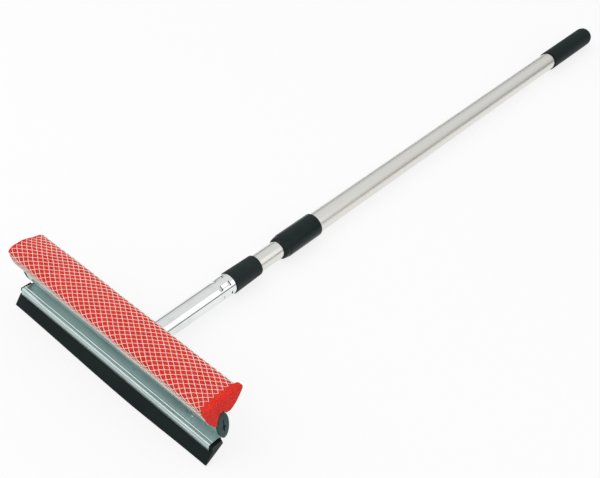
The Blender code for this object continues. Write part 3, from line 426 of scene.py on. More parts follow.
class Finish:
    """A shader tree, and the one method that adds nodes to it."""

    def __init__(self, tree):
        self.tree = tree
        self.shader = tree.nodes.get("Principled BSDF")

    def add(self, kind, settings=None, sockets=None, output=0):
        """Adds a node: its settings first, then its sockets' values or links. Returns one output."""
        node = self.tree.nodes.new(kind)
        for setting, value in (settings or {}).items():
            if setting == "stops":
                self.set_stops(node.color_ramp, value)
            else:
                setattr(node, setting, value)
        for name, value in (sockets or {}).items():
            self.feed(node.inputs[name], value)
        return Link(self, node.outputs[output])

    def feed(self, socket, value):
        if isinstance(value, Link):
            self.tree.links.new(value.socket, socket)
        elif hasattr(socket.default_value, "__len__") and len(socket.default_value) == 4:
            socket.default_value = tuple(value)[:3] + (1.0,)
        else:
            socket.default_value = value

    def set_stops(self, ramp, stops):
        while len(ramp.elements) < len(stops):
            ramp.elements.new(1.0)
        for element, (place, level) in zip(ramp.elements, stops):
            element.position = place
            element.color = (level, level, level, 1.0)

    def place(self, scale=(1.0, 1.0, 1.0)):
        """The piece's own coordinates, each axis times a number."""
        where = self.add("ShaderNodeTexCoord", output="Object")
        return self.add("ShaderNodeMapping", sockets={"Vector": where, "Scale": scale}, output=0)

    def grain(self, scale, detail=2.0, stretch=(1.0, 1.0, 1.0), rough=0.5):
        """Noise from 0 to 1, with its cells about 1 / scale long."""
        sockets = {"Vector": self.place(stretch), "Scale": scale, "Detail": detail, "Roughness": rough}
        return self.add("ShaderNodeTexNoise", sockets=sockets, output="Fac")

    def spread(self, value, low, high):
        """Maps a narrow band of a value on to 0 to 1."""
        sockets = {"Value": value, "From Min": low, "From Max": high}
        return self.add("ShaderNodeMapRange", {"clamp": True}, sockets)

    def blend(self, first, second, share):
        """One colour to another by a share."""
        mix = self.add("ShaderNodeMix", {"data_type": "RGBA"}, {0: share, 6: first, 7: second}, output=2)
        return mix

    def dress(self, colour, roughness, height, depth):
        """Feeds what varies over a surface: colour, roughness, and fine relief of a depth in metres."""
        relief = self.add("ShaderNodeBump", sockets={"Height": height, "Distance": depth, "Strength": 1.0})
        self.feed(self.shader.inputs["Base Color"], colour)
        self.feed(self.shader.inputs["Roughness"], roughness)
        self.feed(self.shader.inputs["Normal"], relief)


def new_finish(name, **values):
    """A Principled material with constant values on its sockets. Returns it and its tree's Finish."""
    material = bpy.data.materials.new(name)
    material.use_nodes = True
    finish = Finish(material.node_tree)
    for socket, value in values.items():
        finish.feed(finish.shader.inputs[socket.replace("_", " ")], value)
    return material, finish


def toned(colour, *tones):
    """A colour times one tone, or each of its parts times its own, held at full."""
    return tuple(min(1.0, part * tone) for part, tone in zip(colour, tones * 3 if len(tones) == 1 else tones))


def tube_finish(name, colour, roughness, depth):
    """Satin drawn aluminium: hair lines along the tube, soft handling marks and a warmer cast in places."""
    material, finish = new_finish(name, Metallic=1.0)
    lines = finish.grain(900.0, 2.0, (1.0, 0.012, 1.0))
    broad = finish.grain(60.0, 2.0, (1.0, 0.05, 1.0))
    smudge = finish.spread(finish.grain(26.0, 3.0), 0.45, 0.75)
    base = finish.blend(colour, toned(colour, 1.00, 0.965, 0.92), finish.spread(broad, 0.35, 0.65))
    finish.dress(base, roughness + lines * 0.12 + smudge * 0.03, lines + broad * 0.15, depth)
    return material


def chrome_finish(name, colour):
    """Bright plating: nearly a mirror, with faint drawn waves and a few dull patches."""
    material, finish = new_finish(name, Metallic=1.0)
    wave = finish.grain(120.0, 1.0, (1.0, 0.04, 1.0))
    dull = finish.spread(finish.grain(45.0, 3.0), 0.52, 0.80)
    base = finish.blend(colour, toned(colour, 0.86), dull)
    finish.dress(base, 0.055 + dull * 0.10, wave, 0.00006)
    return material


def zinc_finish(name, colour):
    """Zinc-plated sheet: streaks along the head, cloudy plating and small scuffs."""
    material, finish = new_finish(name, Metallic=0.92)
    streak = finish.grain(700.0, 3.0, (0.012, 1.0, 1.0))
    cloud = finish.grain(70.0, 3.0, (0.35, 1.0, 1.0))
    scuff = finish.spread(finish.grain(420.0, 2.0, (0.10, 1.0, 1.0)), 0.66, 0.80)
    base = finish.blend(colour, toned(colour, 1.16), finish.spread(streak, 0.40, 0.66))
    base = finish.blend(base, toned(colour, 0.72), finish.spread(cloud, 0.52, 0.82) * 0.6)
    finish.dress(base, 0.24 + streak * 0.12 + scuff * 0.14, streak + cloud * 0.4, 0.00005)
    return material


def steel_finish(name, colour):
    """Plain bright steel with a fine tumbled grain."""
    material, finish = new_finish(name, Metallic=1.0)
    grain = finish.grain(1300.0, 3.0)
    cloud = finish.spread(finish.grain(120.0, 2.0), 0.45, 0.75)
    finish.dress(finish.blend(colour, toned(colour, 0.74), cloud), 0.26 + grain * 0.18, grain, 0.00003)
    return material


def plastic_finish(name, colour, roughness, texture, pale=1.5, shine=0.18):
    """Moulded plastic: a fine spark-eroded texture, with paler rubbed patches."""
    material, finish = new_finish(name, Specular_IOR_Level=shine)
    eroded = finish.grain(texture, 2.0)
    rubbed = finish.spread(finish.grain(55.0, 4.0), 0.48, 0.78)
    base = finish.blend(colour, toned(colour, pale), rubbed)
    finish.dress(base, roughness + rubbed * 0.09 + eroded * 0.06, eroded, 0.00005)
    return material


def rubber_finish(name, colour):
    """Extruded rubber: draw lines along the blade and a dusty bloom."""
    material, finish = new_finish(name, Specular_IOR_Level=0.14)
    draw = finish.grain(800.0, 2.0, (0.010, 1.0, 1.0))
    bloom = finish.spread(finish.grain(38.0, 4.0, (0.4, 1.0, 1.0)), 0.46, 0.80)
    base = finish.blend(colour, toned(colour, 2.2), bloom * 0.7)
    finish.dress(base, 0.42 + bloom * 0.14 + draw * 0.08, draw, 0.00005)
    return material


def foam_finish(name, colour, pore_shade):
    """Open-cell foam: round pores between thin walls, of two sizes, with painted shade in the pores and a
    soft uneven dye.
    """
    material, finish = new_finish(name, Specular_IOR_Level=0.25)
    sockets = {"Vector": finish.place(), "Scale": 1500.0}
    cells = finish.add("ShaderNodeTexVoronoi", sockets=sockets, output="Distance")
    fine = finish.grain(3200.0, 2.0)
    dye = finish.spread(finish.grain(55.0, 3.0), 0.35, 0.65)
    depth = finish.spread(cells + fine * 0.35, 0.30, 0.95)
    light = tuple(min(1.0, part * 1.10 + 0.012) for part in colour)
    # Painted shade: the pores take the darker red, which stands in for the shade inside them
    base = finish.blend(pore_shade, finish.blend(colour, light, dye), depth)
    finish.dress(base, 0.78 + fine * 0.2, depth, 0.00030)
    return material


def net_finish(name, colour):
    """Nylon strand: fine filaments side by side and a slight yellowing."""
    material, finish = new_finish(name, Specular_IOR_Level=0.55)
    filament = finish.grain(4200.0, 2.0, (1.0, 0.35, 1.0))
    age = finish.spread(finish.grain(90.0, 3.0), 0.42, 0.70)
    base = finish.blend(colour, toned(colour, 0.97, 0.91, 0.84), age)
    finish.dress(base, 0.40 + filament * 0.22, filament, 0.00008)
    return material


def floor_finish(name, colour):
    """Pale floor that keeps the tool's shadow, and that the camera and the metal see nearly white."""
    material, finish = new_finish(name, Base_Color=colour, Roughness=0.9, Specular_IOR_Level=0.1)
    rays = [finish.add("ShaderNodeLightPath", output=ray) for ray in FLOOR_RAYS]
    glow = finish.add("ShaderNodeEmission", sockets={"Color": WHITE, "Strength": 1.0})
    share = (rays[0] + rays[1] + rays[2]) * FLOOR_GLOW
    lit = Link(finish, finish.shader.outputs[0])
    both = finish.add("ShaderNodeMixShader", sockets={0: share, 1: lit, 2: glow})
    finish.feed(finish.tree.nodes["Material Output"].inputs["Surface"], both)
    return material


def make_finishes(colours):
    """Every finish of the tool, by the name that the pieces ask for."""
    return {
        "outer_aluminium": tube_finish("satin aluminium, outer tube", colours.aluminium, 0.24, 0.00004),
        "inner_aluminium": tube_finish("satin aluminium, inner tube", colours.aluminium, 0.20, 0.00003),
        "chrome": chrome_finish("chrome plate", colours.chrome),
        "zinc_sheet": zinc_finish("zinc-plated sheet", colours.zinc),
        "bright_steel": steel_finish("bright steel", colours.steel),
        "sleeve_plastic": plastic_finish("sleeve plastic", colours.plastic, 0.24, 1500.0, 1.4, 0.13),
        "collar_plastic": plastic_finish("collar plastic", colours.plastic, 0.36, 1900.0),
        "grip_plastic": plastic_finish("grip plastic", colours.plastic, 0.46, 1100.0, 1.3, 0.08),
        "cap_plastic": plastic_finish("cap plastic", colours.cap, 0.50, 1600.0, 1.3, 0.12),
        "lock_plastic": plastic_finish("lock plastic", colours.lock, 0.45, 1400.0, 0.9),
        "rubber": rubber_finish("blade rubber", colours.rubber),
        "foam": foam_finish("red foam", colours.foam, colours.foam_pore_shade),
        "net": net_finish("nylon net", colours.net),
        "hem": net_finish("hem cord", colours.hem),
    }


def finish_named(name):
    """A finish by its short name, all made the first time that one is asked for."""
    if not FINISHES:
        FINISHES.update(make_finishes(bpy.context.scene.squeegee_colours))
    return FINISHES[name]


FINISHES = {}


def stand_for(piece, finish, *nodes):
    """Gives a piece its finish and puts it in the place of nodes, on the body that carries them."""
    piece.data.materials.clear()
    piece.data.materials.append(finish_named(finish))
    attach(piece, frame["nodes"][nodes[0]]["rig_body"])
    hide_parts(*nodes)
    return piece


def new_piece(name, shape):
    """Links a bmesh as a smooth object and frees it."""
    mesh = bpy.data.meshes.new(name)
    bmesh.ops.recalc_face_normals(shape, faces=shape.faces)
    shape.to_mesh(mesh)
    shape.free()
    mesh.shade_smooth()
    mesh.set_sharp_from_angle(angle=SHARP_ANGLE)
    piece = bpy.data.objects.new(name, mesh)
    bpy.context.scene.collection.objects.link(piece)
    return piece


def use_modifiers(piece):
    """Leaves a piece with the mesh that its modifiers make."""
    bpy.context.view_layer.update()
    seen = piece.evaluated_get(bpy.context.evaluated_depsgraph_get())
    mesh = bpy.data.meshes.new_from_object(seen)
    piece.modifiers.clear()
    piece.data = mesh
    return piece


def skin(shape, rings, loop=False):
    """Faces between rings of points, each ring closed. A ring of one point closes an end."""
    rows = [[shape.verts.new(point) for point in ring] for ring in rings]
    pairs = list(zip(rows, rows[1:]))
    if loop:
        pairs.append((rows[-1], rows[0]))
    for near, far in pairs:
        count = max(len(near), len(far))
        for i in range(count):
            after = (i + 1) % count
            corners = [near[i % len(near)], near[after % len(near)]]
            corners += [far[after % len(far)], far[i % len(far)]]
            shape.faces.new(list(dict.fromkeys(corners)))
    return rows


def rounded(corners, closed=False, steps=4):
    """A profile whose corners (radius, place, rounding) become arcs of a quadratic curve."""
    points = []
    count = len(corners)
    for i, (radius, place, size) in enumerate(corners):
        here = Vector((radius, place))
        if size == 0 or (not closed and i in (0, count - 1)):
            points.append(here)
            continue
        before = Vector(corners[i - 1][:2]) - here
        after = Vector(corners[(i + 1) % count][:2]) - here
        start = here + before.normalized() * min(size, before.length / 2)
        end = here + after.normalized() * min(size, after.length / 2)
        for step in range(steps + 1):
            share = step / steps
            points.append(start * (1 - share) ** 2 + here * 2 * share * (1 - share) + end * share**2)
    return points


def radius_of(node):
    """Half the width of a node that is round about the pole's axis."""
    low, high = BOX[node]
    return (high.x - low.x) / 2


def round_point(radius, place, angle):
    """A point round the pole's axis, at a place along it."""
    return Vector((radius * math.cos(angle), place, POLE_HEIGHT + radius * math.sin(angle)))


def turned(name, corners, loop=True, press=None):
    """A lathe piece round the pole's axis. Press gives how far a point moves in towards the axis."""
    steps = bpy.context.scene.squeegee_sizes.round_steps
    shape = bmesh.new()
    rings = []
    for radius, place in rounded(corners, loop):
        ring = []
        for step in range(steps if radius > 0 else 1):
            angle = 2 * math.pi * step / steps
            drawn = radius - (press(radius, place, angle) if press else 0)
            ring.append(round_point(drawn, place, angle))
        rings.append(ring)
    skin(shape, rings, loop)
    return new_piece(name, shape)


def tube_corners(node, wall):
    """A tube's profile with eased mouths, with rings along it for even shading."""
    low, high = BOX[node]
    outer = radius_of(node)
    bore = outer - wall
    count = max(1, round((high.y - low.y) / TUBE_STEP))
    along = [low.y + (high.y - low.y) * i / count for i in range(1, count)]
    return (
        [(outer, low.y, TUBE_EDGE)]
        + [(outer, place, 0) for place in along]
        + [(outer, high.y, TUBE_EDGE), (bore, high.y, TUBE_EDGE), (bore, low.y, TUBE_EDGE)]
    )


def grip_corners():
    """The closed grip: a domed end round a small flat, an eased mouth and the socket for the tube."""
    low, high = BOX["grip"]
    outer = radius_of("grip")
    bore = radius_of("outer_tube") + GAP
    floor = POLE_HIGH.y + GAP
    dome = []
    for step in range(1, DOME_STEPS):
        angle = QUARTER * step / DOME_STEPS
        radius = GRIP_FLAT + (outer - GRIP_FLAT) * math.sin(angle)
        dome.append((radius, high.y - GRIP_DOME * (1 - math.cos(angle)), 0))
    return (
        [(0, high.y, 0), (GRIP_FLAT * 0.8, high.y, 0)]
        + dome
        + [
            (outer, high.y - GRIP_DOME, 0),
            (outer, low.y + GRIP_EDGE * 4, 0),
            (outer, low.y, GRIP_EDGE),
            (bore, low.y, GRIP_EDGE / 3),
            (bore, floor, 0),
            (0, floor, 0),
        ]
    )


def grip_seam(radius, place, angle):
    """The mould's faint parting line, which stands proud along both sides of the grip."""
    outer = radius_of("grip")
    if radius < outer * 0.9 or place > BOX["grip"][1].y - GRIP_DOME:
        return 0
    return -GRIP_SEAM * max(0.0, 1 - abs(math.sin(angle)) * outer / GRIP_SEAM_HALF_WIDTH)


def sleeve_corners():
    """The sleeve on the outer tube's mouth: a stepped, rounded nose that closes down on the inner tube."""
    low, high = BOX["lock_sleeve"]
    outer = radius_of("lock_sleeve")
    bore = radius_of("outer_tube") + GAP
    nose_bore = radius_of("inner_tube") + GAP
    lip = nose_bore + SLEEVE_LIP
    shoulder = low.y + SLEEVE_NOSE
    return [
        (outer, high.y, SLEEVE_BACK_EDGE),
        (outer, shoulder + SLEEVE_ROUND, 0),
        (outer, shoulder, SLEEVE_STEP_EDGE),
        (outer - SLEEVE_STEP, shoulder - SLEEVE_STEP, SLEEVE_STEP_ROOT),
        (outer - SLEEVE_STEP, low.y + SLEEVE_HOLD, SLEEVE_ROUND),
        (lip + SLEEVE_LIP, low.y + SLEEVE_TIP, SLEEVE_ROUND / 2),
        (lip, low.y, SLEEVE_BORE_EDGE),
        (nose_bore, low.y, SLEEVE_BORE_EDGE),
        (nose_bore, shoulder, 0),
        (bore, shoulder, 0),
        (bore, high.y, SLEEVE_BORE_EDGE),
    ]


def collar_corners():
    """The collar over the ferrule's end, tapered, with a plain rim at each end of its ribs."""
    low, high = BOX["socket_collar"]
    front = radius_of("socket_collar")
    bore = radius_of("inner_tube") + GAP
    lap = radius_of("ferrule") + GAP
    floor = BOX["ferrule"][1].y + GAP
    slope = (front - COLLAR_BACK_RADIUS) / (high.y - low.y)
    return [
        (COLLAR_BACK_RADIUS, high.y, COLLAR_BACK_EDGE),
        (COLLAR_BACK_RADIUS + slope * COLLAR_RIM, high.y - COLLAR_RIM * 1.4, 0),
        (COLLAR_BACK_RADIUS + slope * COLLAR_RIM * 2, high.y - COLLAR_RIM * 2, 0),
        (front - slope * COLLAR_RIM * 1.4, low.y + COLLAR_RIM * 1.4, 0),
        (front - slope * COLLAR_RIM, low.y + COLLAR_RIM, 0),
        (front, low.y, COLLAR_EDGE),
        (lap, low.y, COLLAR_BORE_EDGE),
        (lap, floor, 0),
        (bore, floor, 0),
        (bore, high.y, COLLAR_BORE_EDGE),
    ]


def collar_ribs(radius, place, angle):
    """Fine grooves between the ribs, on the collar's outer side only."""
    low, high = BOX["socket_collar"]
    inside = low.y + COLLAR_RIM * 1.2 < place < high.y - COLLAR_RIM * 1.7
    if not inside or radius < COLLAR_BACK_RADIUS * 0.99:
        return 0
    return COLLAR_RIB_DEPTH * (0.5 - 0.5 * math.cos(COLLAR_RIBS * angle))


class SQUEEGEE_OT_tubes(bpy.types.Operator):
    """Make the two satin tubes, the inner one with the hole for its cross pin"""

    bl_idname = "squeegee.tubes"
    bl_label = "Tubes"

    def execute(self, context):
        outer = turned("outer_tube_drawn", tube_corners("outer_tube", OUTER_WALL))
        stand_for(outer, "outer_aluminium", "outer_tube")
        inner = turned("inner_tube_drawn", tube_corners("inner_tube", INNER_WALL))
        low, high = BOX["plug_pin"]
        length = high.x - low.x + CUT_OVERRUN * 4
        hole = round_bar("pin_hole", (high.z - low.z) / 2 + GAP, length, (low + high) / 2)
        tool_on(inner, hole, "DIFFERENCE")
        stand_for(inner, "inner_aluminium", "inner_tube")
        return {"FINISHED"}


def round_bar(name, radius, length, centre, axis="X"):
    """A plain cutter along X or Z."""
    shape = bmesh.new()
    ends = {"radius1": radius, "radius2": radius, "depth": length}
    bmesh.ops.create_cone(shape, cap_ends=True, segments=CUTTER_SIDES, **ends)
    if axis == "X":
        bmesh.ops.rotate(shape, verts=shape.verts, matrix=Matrix.Rotation(QUARTER, 3, "Y"))
    bmesh.ops.translate(shape, verts=shape.verts, vec=centre)
    return new_piece(name, shape)


def tool_on(piece, tool, operation):
    """Cuts a tool out of a piece or joins it on, and removes the tool."""
    modifier = piece.modifiers.new("tool", "BOOLEAN")
    modifier.operation = operation
    modifier.solver = "EXACT"
    modifier.object = tool
    use_modifiers(piece)
    bpy.data.objects.remove(tool, do_unlink=True)
    piece.data.shade_smooth()
    piece.data.set_sharp_from_angle(angle=SHARP_ANGLE)
    return piece


class SQUEEGEE_OT_grip(bpy.types.Operator):
    """Make the closed hand grip with its domed end and faint mould line"""

    bl_idname = "squeegee.grip"
    bl_label = "Grip"

    def execute(self, context):
        grip = turned("grip_moulded", grip_corners(), False, grip_seam)
        stand_for(grip, "grip_plastic", "grip")
        return {"FINISHED"}


class SQUEEGEE_OT_lock_sleeve(bpy.types.Operator):
    """Make the sleeve on the outer tube's mouth, with its stepped nose and small round mark"""

    bl_idname = "squeegee.lock_sleeve"
    bl_label = "Lock sleeve"

    def execute(self, context):
        sleeve = turned("lock_sleeve_moulded", sleeve_corners())
        place = BOX["lock_sleeve"][0].y + SLEEVE_MARK_SETBACK
        reach = radius_of("lock_sleeve") + SLEEVE_MARK_RADIUS - SLEEVE_MARK_DEPTH
        centre = round_point(reach, place, LANCE_ANGLE)
        shape = bmesh.new()
        bmesh.ops.create_uvsphere(shape, u_segments=24, v_segments=16, radius=SLEEVE_MARK_RADIUS)
        bmesh.ops.translate(shape, verts=shape.verts, vec=centre)
        tool_on(sleeve, new_piece("sleeve_mark", shape), "DIFFERENCE")
        stand_for(sleeve, "sleeve_plastic", "lock_sleeve")
        return {"FINISHED"}


class SQUEEGEE_OT_socket_collar(bpy.types.Operator):
    """Make the ribbed collar that closes the ferrule on the inner tube"""

    bl_idname = "squeegee.socket_collar"
    bl_label = "Socket collar"

    def execute(self, context):
        sizes = context.scene.squeegee_sizes
        steps = sizes.round_steps
        sizes.round_steps = COLLAR_RIBS * COLLAR_RIB_FACETS
        collar = turned("socket_collar_moulded", collar_corners(), True, collar_ribs)
        sizes.round_steps = steps
        stand_for(collar, "collar_plastic", "socket_collar")
        return {"FINISHED"}


def lance_share(angle):
    """Where an angle lies across the nearest pressed strip: 0 to 1, or None beside it."""
    turn = 2 * math.pi / LANCE_COUNT
    off = (angle - LANCE_ANGLE + turn / 2) % turn - turn / 2
    share = off / LANCE_SPAN + 0.5
    return share if 0 <= share <= 1 else None


class SQUEEGEE_OT_ferrule(bpy.types.Operator):
    """Make the rolled chrome ferrule with its pairs of slits and pressed strips"""

    bl_idname = "squeegee.ferrule"
    bl_label = "Ferrule"

    def execute(self, context):
        low, high = BOX["ferrule"]
        taper = (radius_of("ferrule") - FERRULE_FRONT_RADIUS) / (high.y - low.y)
        far_slit = BOX["socket_collar"][0].y - LANCE_SETBACK + LANCE_SLIT / 2
        near_slit = far_slit - LANCE_SLIT - LANCE_STRIP
        rows = round((near_slit - low.y) / FERRULE_ROW)
        places = [low.y + (near_slit - LANCE_SLIT - low.y) * i / rows for i in range(rows + 1)]
        places += [near_slit + LANCE_STRIP * i / LANCE_ROWS for i in range(LANCE_ROWS + 1)]
        slit_rows = (rows, rows + LANCE_ROWS + 1)
        places += [far_slit, (far_slit + high.y) / 2, high.y]
        columns = LANCE_COLUMNS * LANCE_COUNT
        shape = bmesh.new()
        rings = []
        for row, place in enumerate(places):
            ring = []
            for column in range(columns):
                angle = 2 * math.pi * column / columns + LANCE_ANGLE
                radius = FERRULE_FRONT_RADIUS + taper * (place - low.y)
                share = lance_share(angle)
                if share is not None and slit_rows[0] < row <= slit_rows[1]:
                    radius -= LANCE_DEPTH * math.sin(math.pi * share) ** LANCE_CURVE
                ring.append(shape.verts.new(round_point(radius, place, angle)))
            rings.append(ring)
        for row, (near, far) in enumerate(zip(rings, rings[1:])):
            for column in range(columns):
                middle = 2 * math.pi * (column + 0.5) / columns + LANCE_ANGLE
                if row in slit_rows and lance_share(middle) is not None:
                    continue
                after = (column + 1) % columns
                shape.faces.new((near[column], near[after], far[after], far[column]))
        ferrule = new_piece("ferrule_rolled", shape)
        wall = ferrule.modifiers.new("sheet", "SOLIDIFY")
        wall.thickness = FERRULE_WALL
        wall.offset = -1.0
        wall.use_even_offset = True
        edge = ferrule.modifiers.new("eased edge", "BEVEL")
        edge.width = FERRULE_EDGE
        edge.segments = 1
        edge.limit_method = "ANGLE"
        edge.angle_limit = FERRULE_SHARP
        use_modifiers(ferrule)
        stand_for(ferrule, "chrome", "ferrule")
        return {"FINISHED"}


def eased_copy(node, edge):
    """A rigid node's own shape with its faces joined and its sharp edges eased."""
    shape = bmesh.new()
    shape.from_mesh(frame["nodes"][node].data)
    bmesh.ops.remove_doubles(shape, verts=shape.verts, dist=MERGE)
    bmesh.ops.dissolve_limit(shape, angle_limit=FLAT_ANGLE, verts=shape.verts, edges=shape.edges)
    return ease(new_piece(node + "_finished", shape), edge)


def ease(piece, edge):
    """Bevels a piece's sharp edges."""
    bevel = piece.modifiers.new("eased edges", "BEVEL")
    bevel.width = edge
    bevel.segments = 2
    bevel.limit_method = "ANGLE"
    bevel.angle_limit = SHARP_ANGLE
    return use_modifiers(piece)


class SQUEEGEE_OT_rigid_pieces(bpy.types.Operator):
    """Ease the edges of the clamp strip, sponge channel, bracket, rivets and end caps"""

    bl_idname = "squeegee.rigid_pieces"
    bl_label = "Channel, bracket, rivets and caps"

    def execute(self, context):
        for node, (finish, edge) in RIGID_PIECES.items():
            stand_for(eased_copy(node, edge), finish, node)
        return {"FINISHED"}


class SQUEEGEE_OT_rubber_blade(bpy.types.Operator):
    """Make the rubber blade with eased edges and its free edge bowed forward"""

    bl_idname = "squeegee.rubber_blade"
    bl_label = "Rubber blade"

    def execute(self, context):
        blade = eased_copy("rubber_blade", RUBBER_EDGE)
        shape = bmesh.new()
        shape.from_mesh(blade.data)
        low, high = BOX["rubber_blade"]
        for step in range(1, BOW_STEPS):
            across = low.x + (high.x - low.x) * step / BOW_STEPS
            parts = shape.verts[:] + shape.edges[:] + shape.faces[:]
            bmesh.ops.bisect_plane(shape, geom=parts, plane_co=(across, 0, 0), plane_no=(1, 0, 0))
        for vertex in shape.verts:
            end = low.x if vertex.co.x < BOW_PEAK else high.x
            share = (vertex.co.x - end) / (BOW_PEAK - end)
            vertex.co.y -= BOW * smooth(share) * max(0.0, 1 - vertex.co.z / BOW_ROOT)
        shape.to_mesh(blade.data)
        shape.free()
        stand_for(blade, "rubber", "rubber_blade")
        return {"FINISHED"}


def head_point(across, place):
    """A point of the head, from its place along the blade and its forward and height in the section."""
    return Vector((across, HEAD_BACK - place[0], place[1]))


def smooth(share):
    """A share eased in and out, held between 0 and 1."""
    share = min(1.0, max(0.0, share))
    return share * share * (3 - 2 * share)


def web_dip(across, forward):
    """How far a point of the web is pressed down by the end crimp and the round dents."""
    share = (forward - WEB_REAR) / (WEB_FRONT - WEB_REAR)
    if not 0 < share < 1:
        return 0.0
    crease = CRIMP_PLACE + CRIMP_BOW * math.sin(math.pi * share)
    depth = CRIMP_DEPTH * smooth((crease - across) / CRIMP_BLEND) * math.sin(math.pi * share) ** 0.5
    for place, dent_share in DENTS:
        centre = Vector((place, WEB_REAR + (WEB_FRONT - WEB_REAR) * dent_share))
        away = (Vector((across, forward)) - centre).length / DENT_RADIUS
        if away < 1:
            depth += DENT_DEPTH * math.sin(math.pi * away) ** 2
    return depth


def channel_path():
    """The channel's middle line: web, ridge, groove and the bead down to the rubber."""
    middle = WEB_TOP - SHEET / 2
    rows = round((WEB_FRONT - WEB_REAR) / WEB_STEP)
    web = [Vector((WEB_REAR + WEB_STEP * row, middle)) for row in range(rows)]
    return web + rounded([(*web[-1], 0)] + list(FOLDS))[1:]


def channel_stations():
    """Places along the channel, close together where the web is marked."""
    count = round(2 * CHANNEL_HALF / CHANNEL_STEP)
    places = {round(-CHANNEL_HALF + CHANNEL_STEP * step, 6) for step in range(count + 1)}
    for start, end in MARK_SPANS:
        count = round((end - start) / MARK_STEP)
        places |= {round(start + MARK_STEP * step, 6) for step in range(count + 1)}
    return sorted(places)


def arc(centre, radius, start, end, steps=8):
    """Points on an arc, from the start angle to the end angle."""
    angles = [start + (end - start) * step / steps for step in range(steps + 1)]
    return [Vector(centre) + radius * Vector((math.cos(angle), math.sin(angle))) for angle in angles]


def tongue_outline():
    """The tongue's plan as across and back from the web's rear edge, with filleted roots."""
    fillet = arc((TONGUE_HALF + TONGUE_FILLET, TONGUE_FILLET), TONGUE_FILLET, -QUARTER, -2 * QUARTER)
    tip = arc((TONGUE_HALF - TONGUE_CORNER, TONGUE_DEPTH - TONGUE_CORNER), TONGUE_CORNER, 0, QUARTER)
    side = [Vector((TONGUE_HALF + TONGUE_FILLET, -TONGUE_LAP))] + fillet + tip
    return side + [Vector((-point.x, point.y)) for point in reversed(side)]


def plate(name, outline, thickness):
    """A flat plate from a closed outline of world points on its top."""
    shape = bmesh.new()
    top = [shape.verts.new(point) for point in outline]
    low = [shape.verts.new(point - Vector((0, 0, thickness))) for point in outline]
    shape.faces.new(top)
    shape.faces.new(low)
    for i in range(len(top)):
        shape.faces.new((top[i - 1], top[i], low[i], low[i - 1]))
    return new_piece(name, shape)


class SQUEEGEE_OT_blade_channel(bpy.types.Operator):
    """Make the blade channel with its rolled bead, riveted tongue, end crimp and pressed dents"""

    bl_idname = "squeegee.blade_channel"
    bl_label = "Blade channel"

    def execute(self, context):
        path = channel_path()
        shape = bmesh.new()
        rows = []
        for across in channel_stations():
            drop = [Vector((0, web_dip(across, point.x))) for point in path]
            rows.append([shape.verts.new(head_point(across, p - d)) for p, d in zip(path, drop)])
        for near, far in zip(rows, rows[1:]):
            for i in range(len(path) - 1):
                shape.faces.new((near[i], far[i], far[i + 1], near[i + 1]))
        channel = new_piece("blade_channel_folded", shape)
        sheet = channel.modifiers.new("sheet", "SOLIDIFY")
        sheet.thickness = SHEET
        sheet.offset = 0
        sheet.use_even_offset = True
        use_modifiers(channel)
        outline = [head_point(point.x, (WEB_REAR - point.y, WEB_TOP)) for point in tongue_outline()]
        tool_on(channel, plate("tongue", outline, SHEET), "UNION")
        for side in (-1, 1):
            centre = head_point(side * EAR_RIVET_HALF_SPAN, (WEB_REAR - TONGUE_DEPTH / 2, WEB_TOP))
            hole = round_bar("ear_hole", RIVET_HOLE_RADIUS, SHEET * 6, centre, "Z")
            tool_on(channel, hole, "DIFFERENCE")
        ease(channel, CHANNEL_EDGE)
        stand_for(channel, "zinc_sheet", "blade_channel")
        return {"FINISHED"}


def smooth_chain(shares):
    """A curve through the outline's corners, with the same number of points between each two."""
    corners = []
    for back, up in shares:
        corners.append(SPONGE_CORNER + Vector((-back * SPONGE_WIDTH, up * SPONGE_HEIGHT)))
    legs = [after - before for before, after in zip(corners, corners[1:])]
    lengths = [leg.length for leg in legs]
    slopes = [legs[0] / lengths[0]]
    for i in range(1, len(legs)):
        before, after = lengths[i - 1], lengths[i]
        slopes.append((legs[i] / after * before + legs[i - 1] / before * after) / (before + after))
    slopes.append(legs[-1] / lengths[-1])
    points = [corners[0]]
    for i, leg in enumerate(legs):
        for step in range(1, OUTLINE_STEPS + 1):
            t = step / OUTLINE_STEPS
            rise = t * t * (3 - 2 * t)
            first = slopes[i] * lengths[i] * t * (1 - t) ** 2
            last = slopes[i + 1] * lengths[i] * t * t * (1 - t)
            points.append(corners[i] + leg * rise + first - last)
    return points


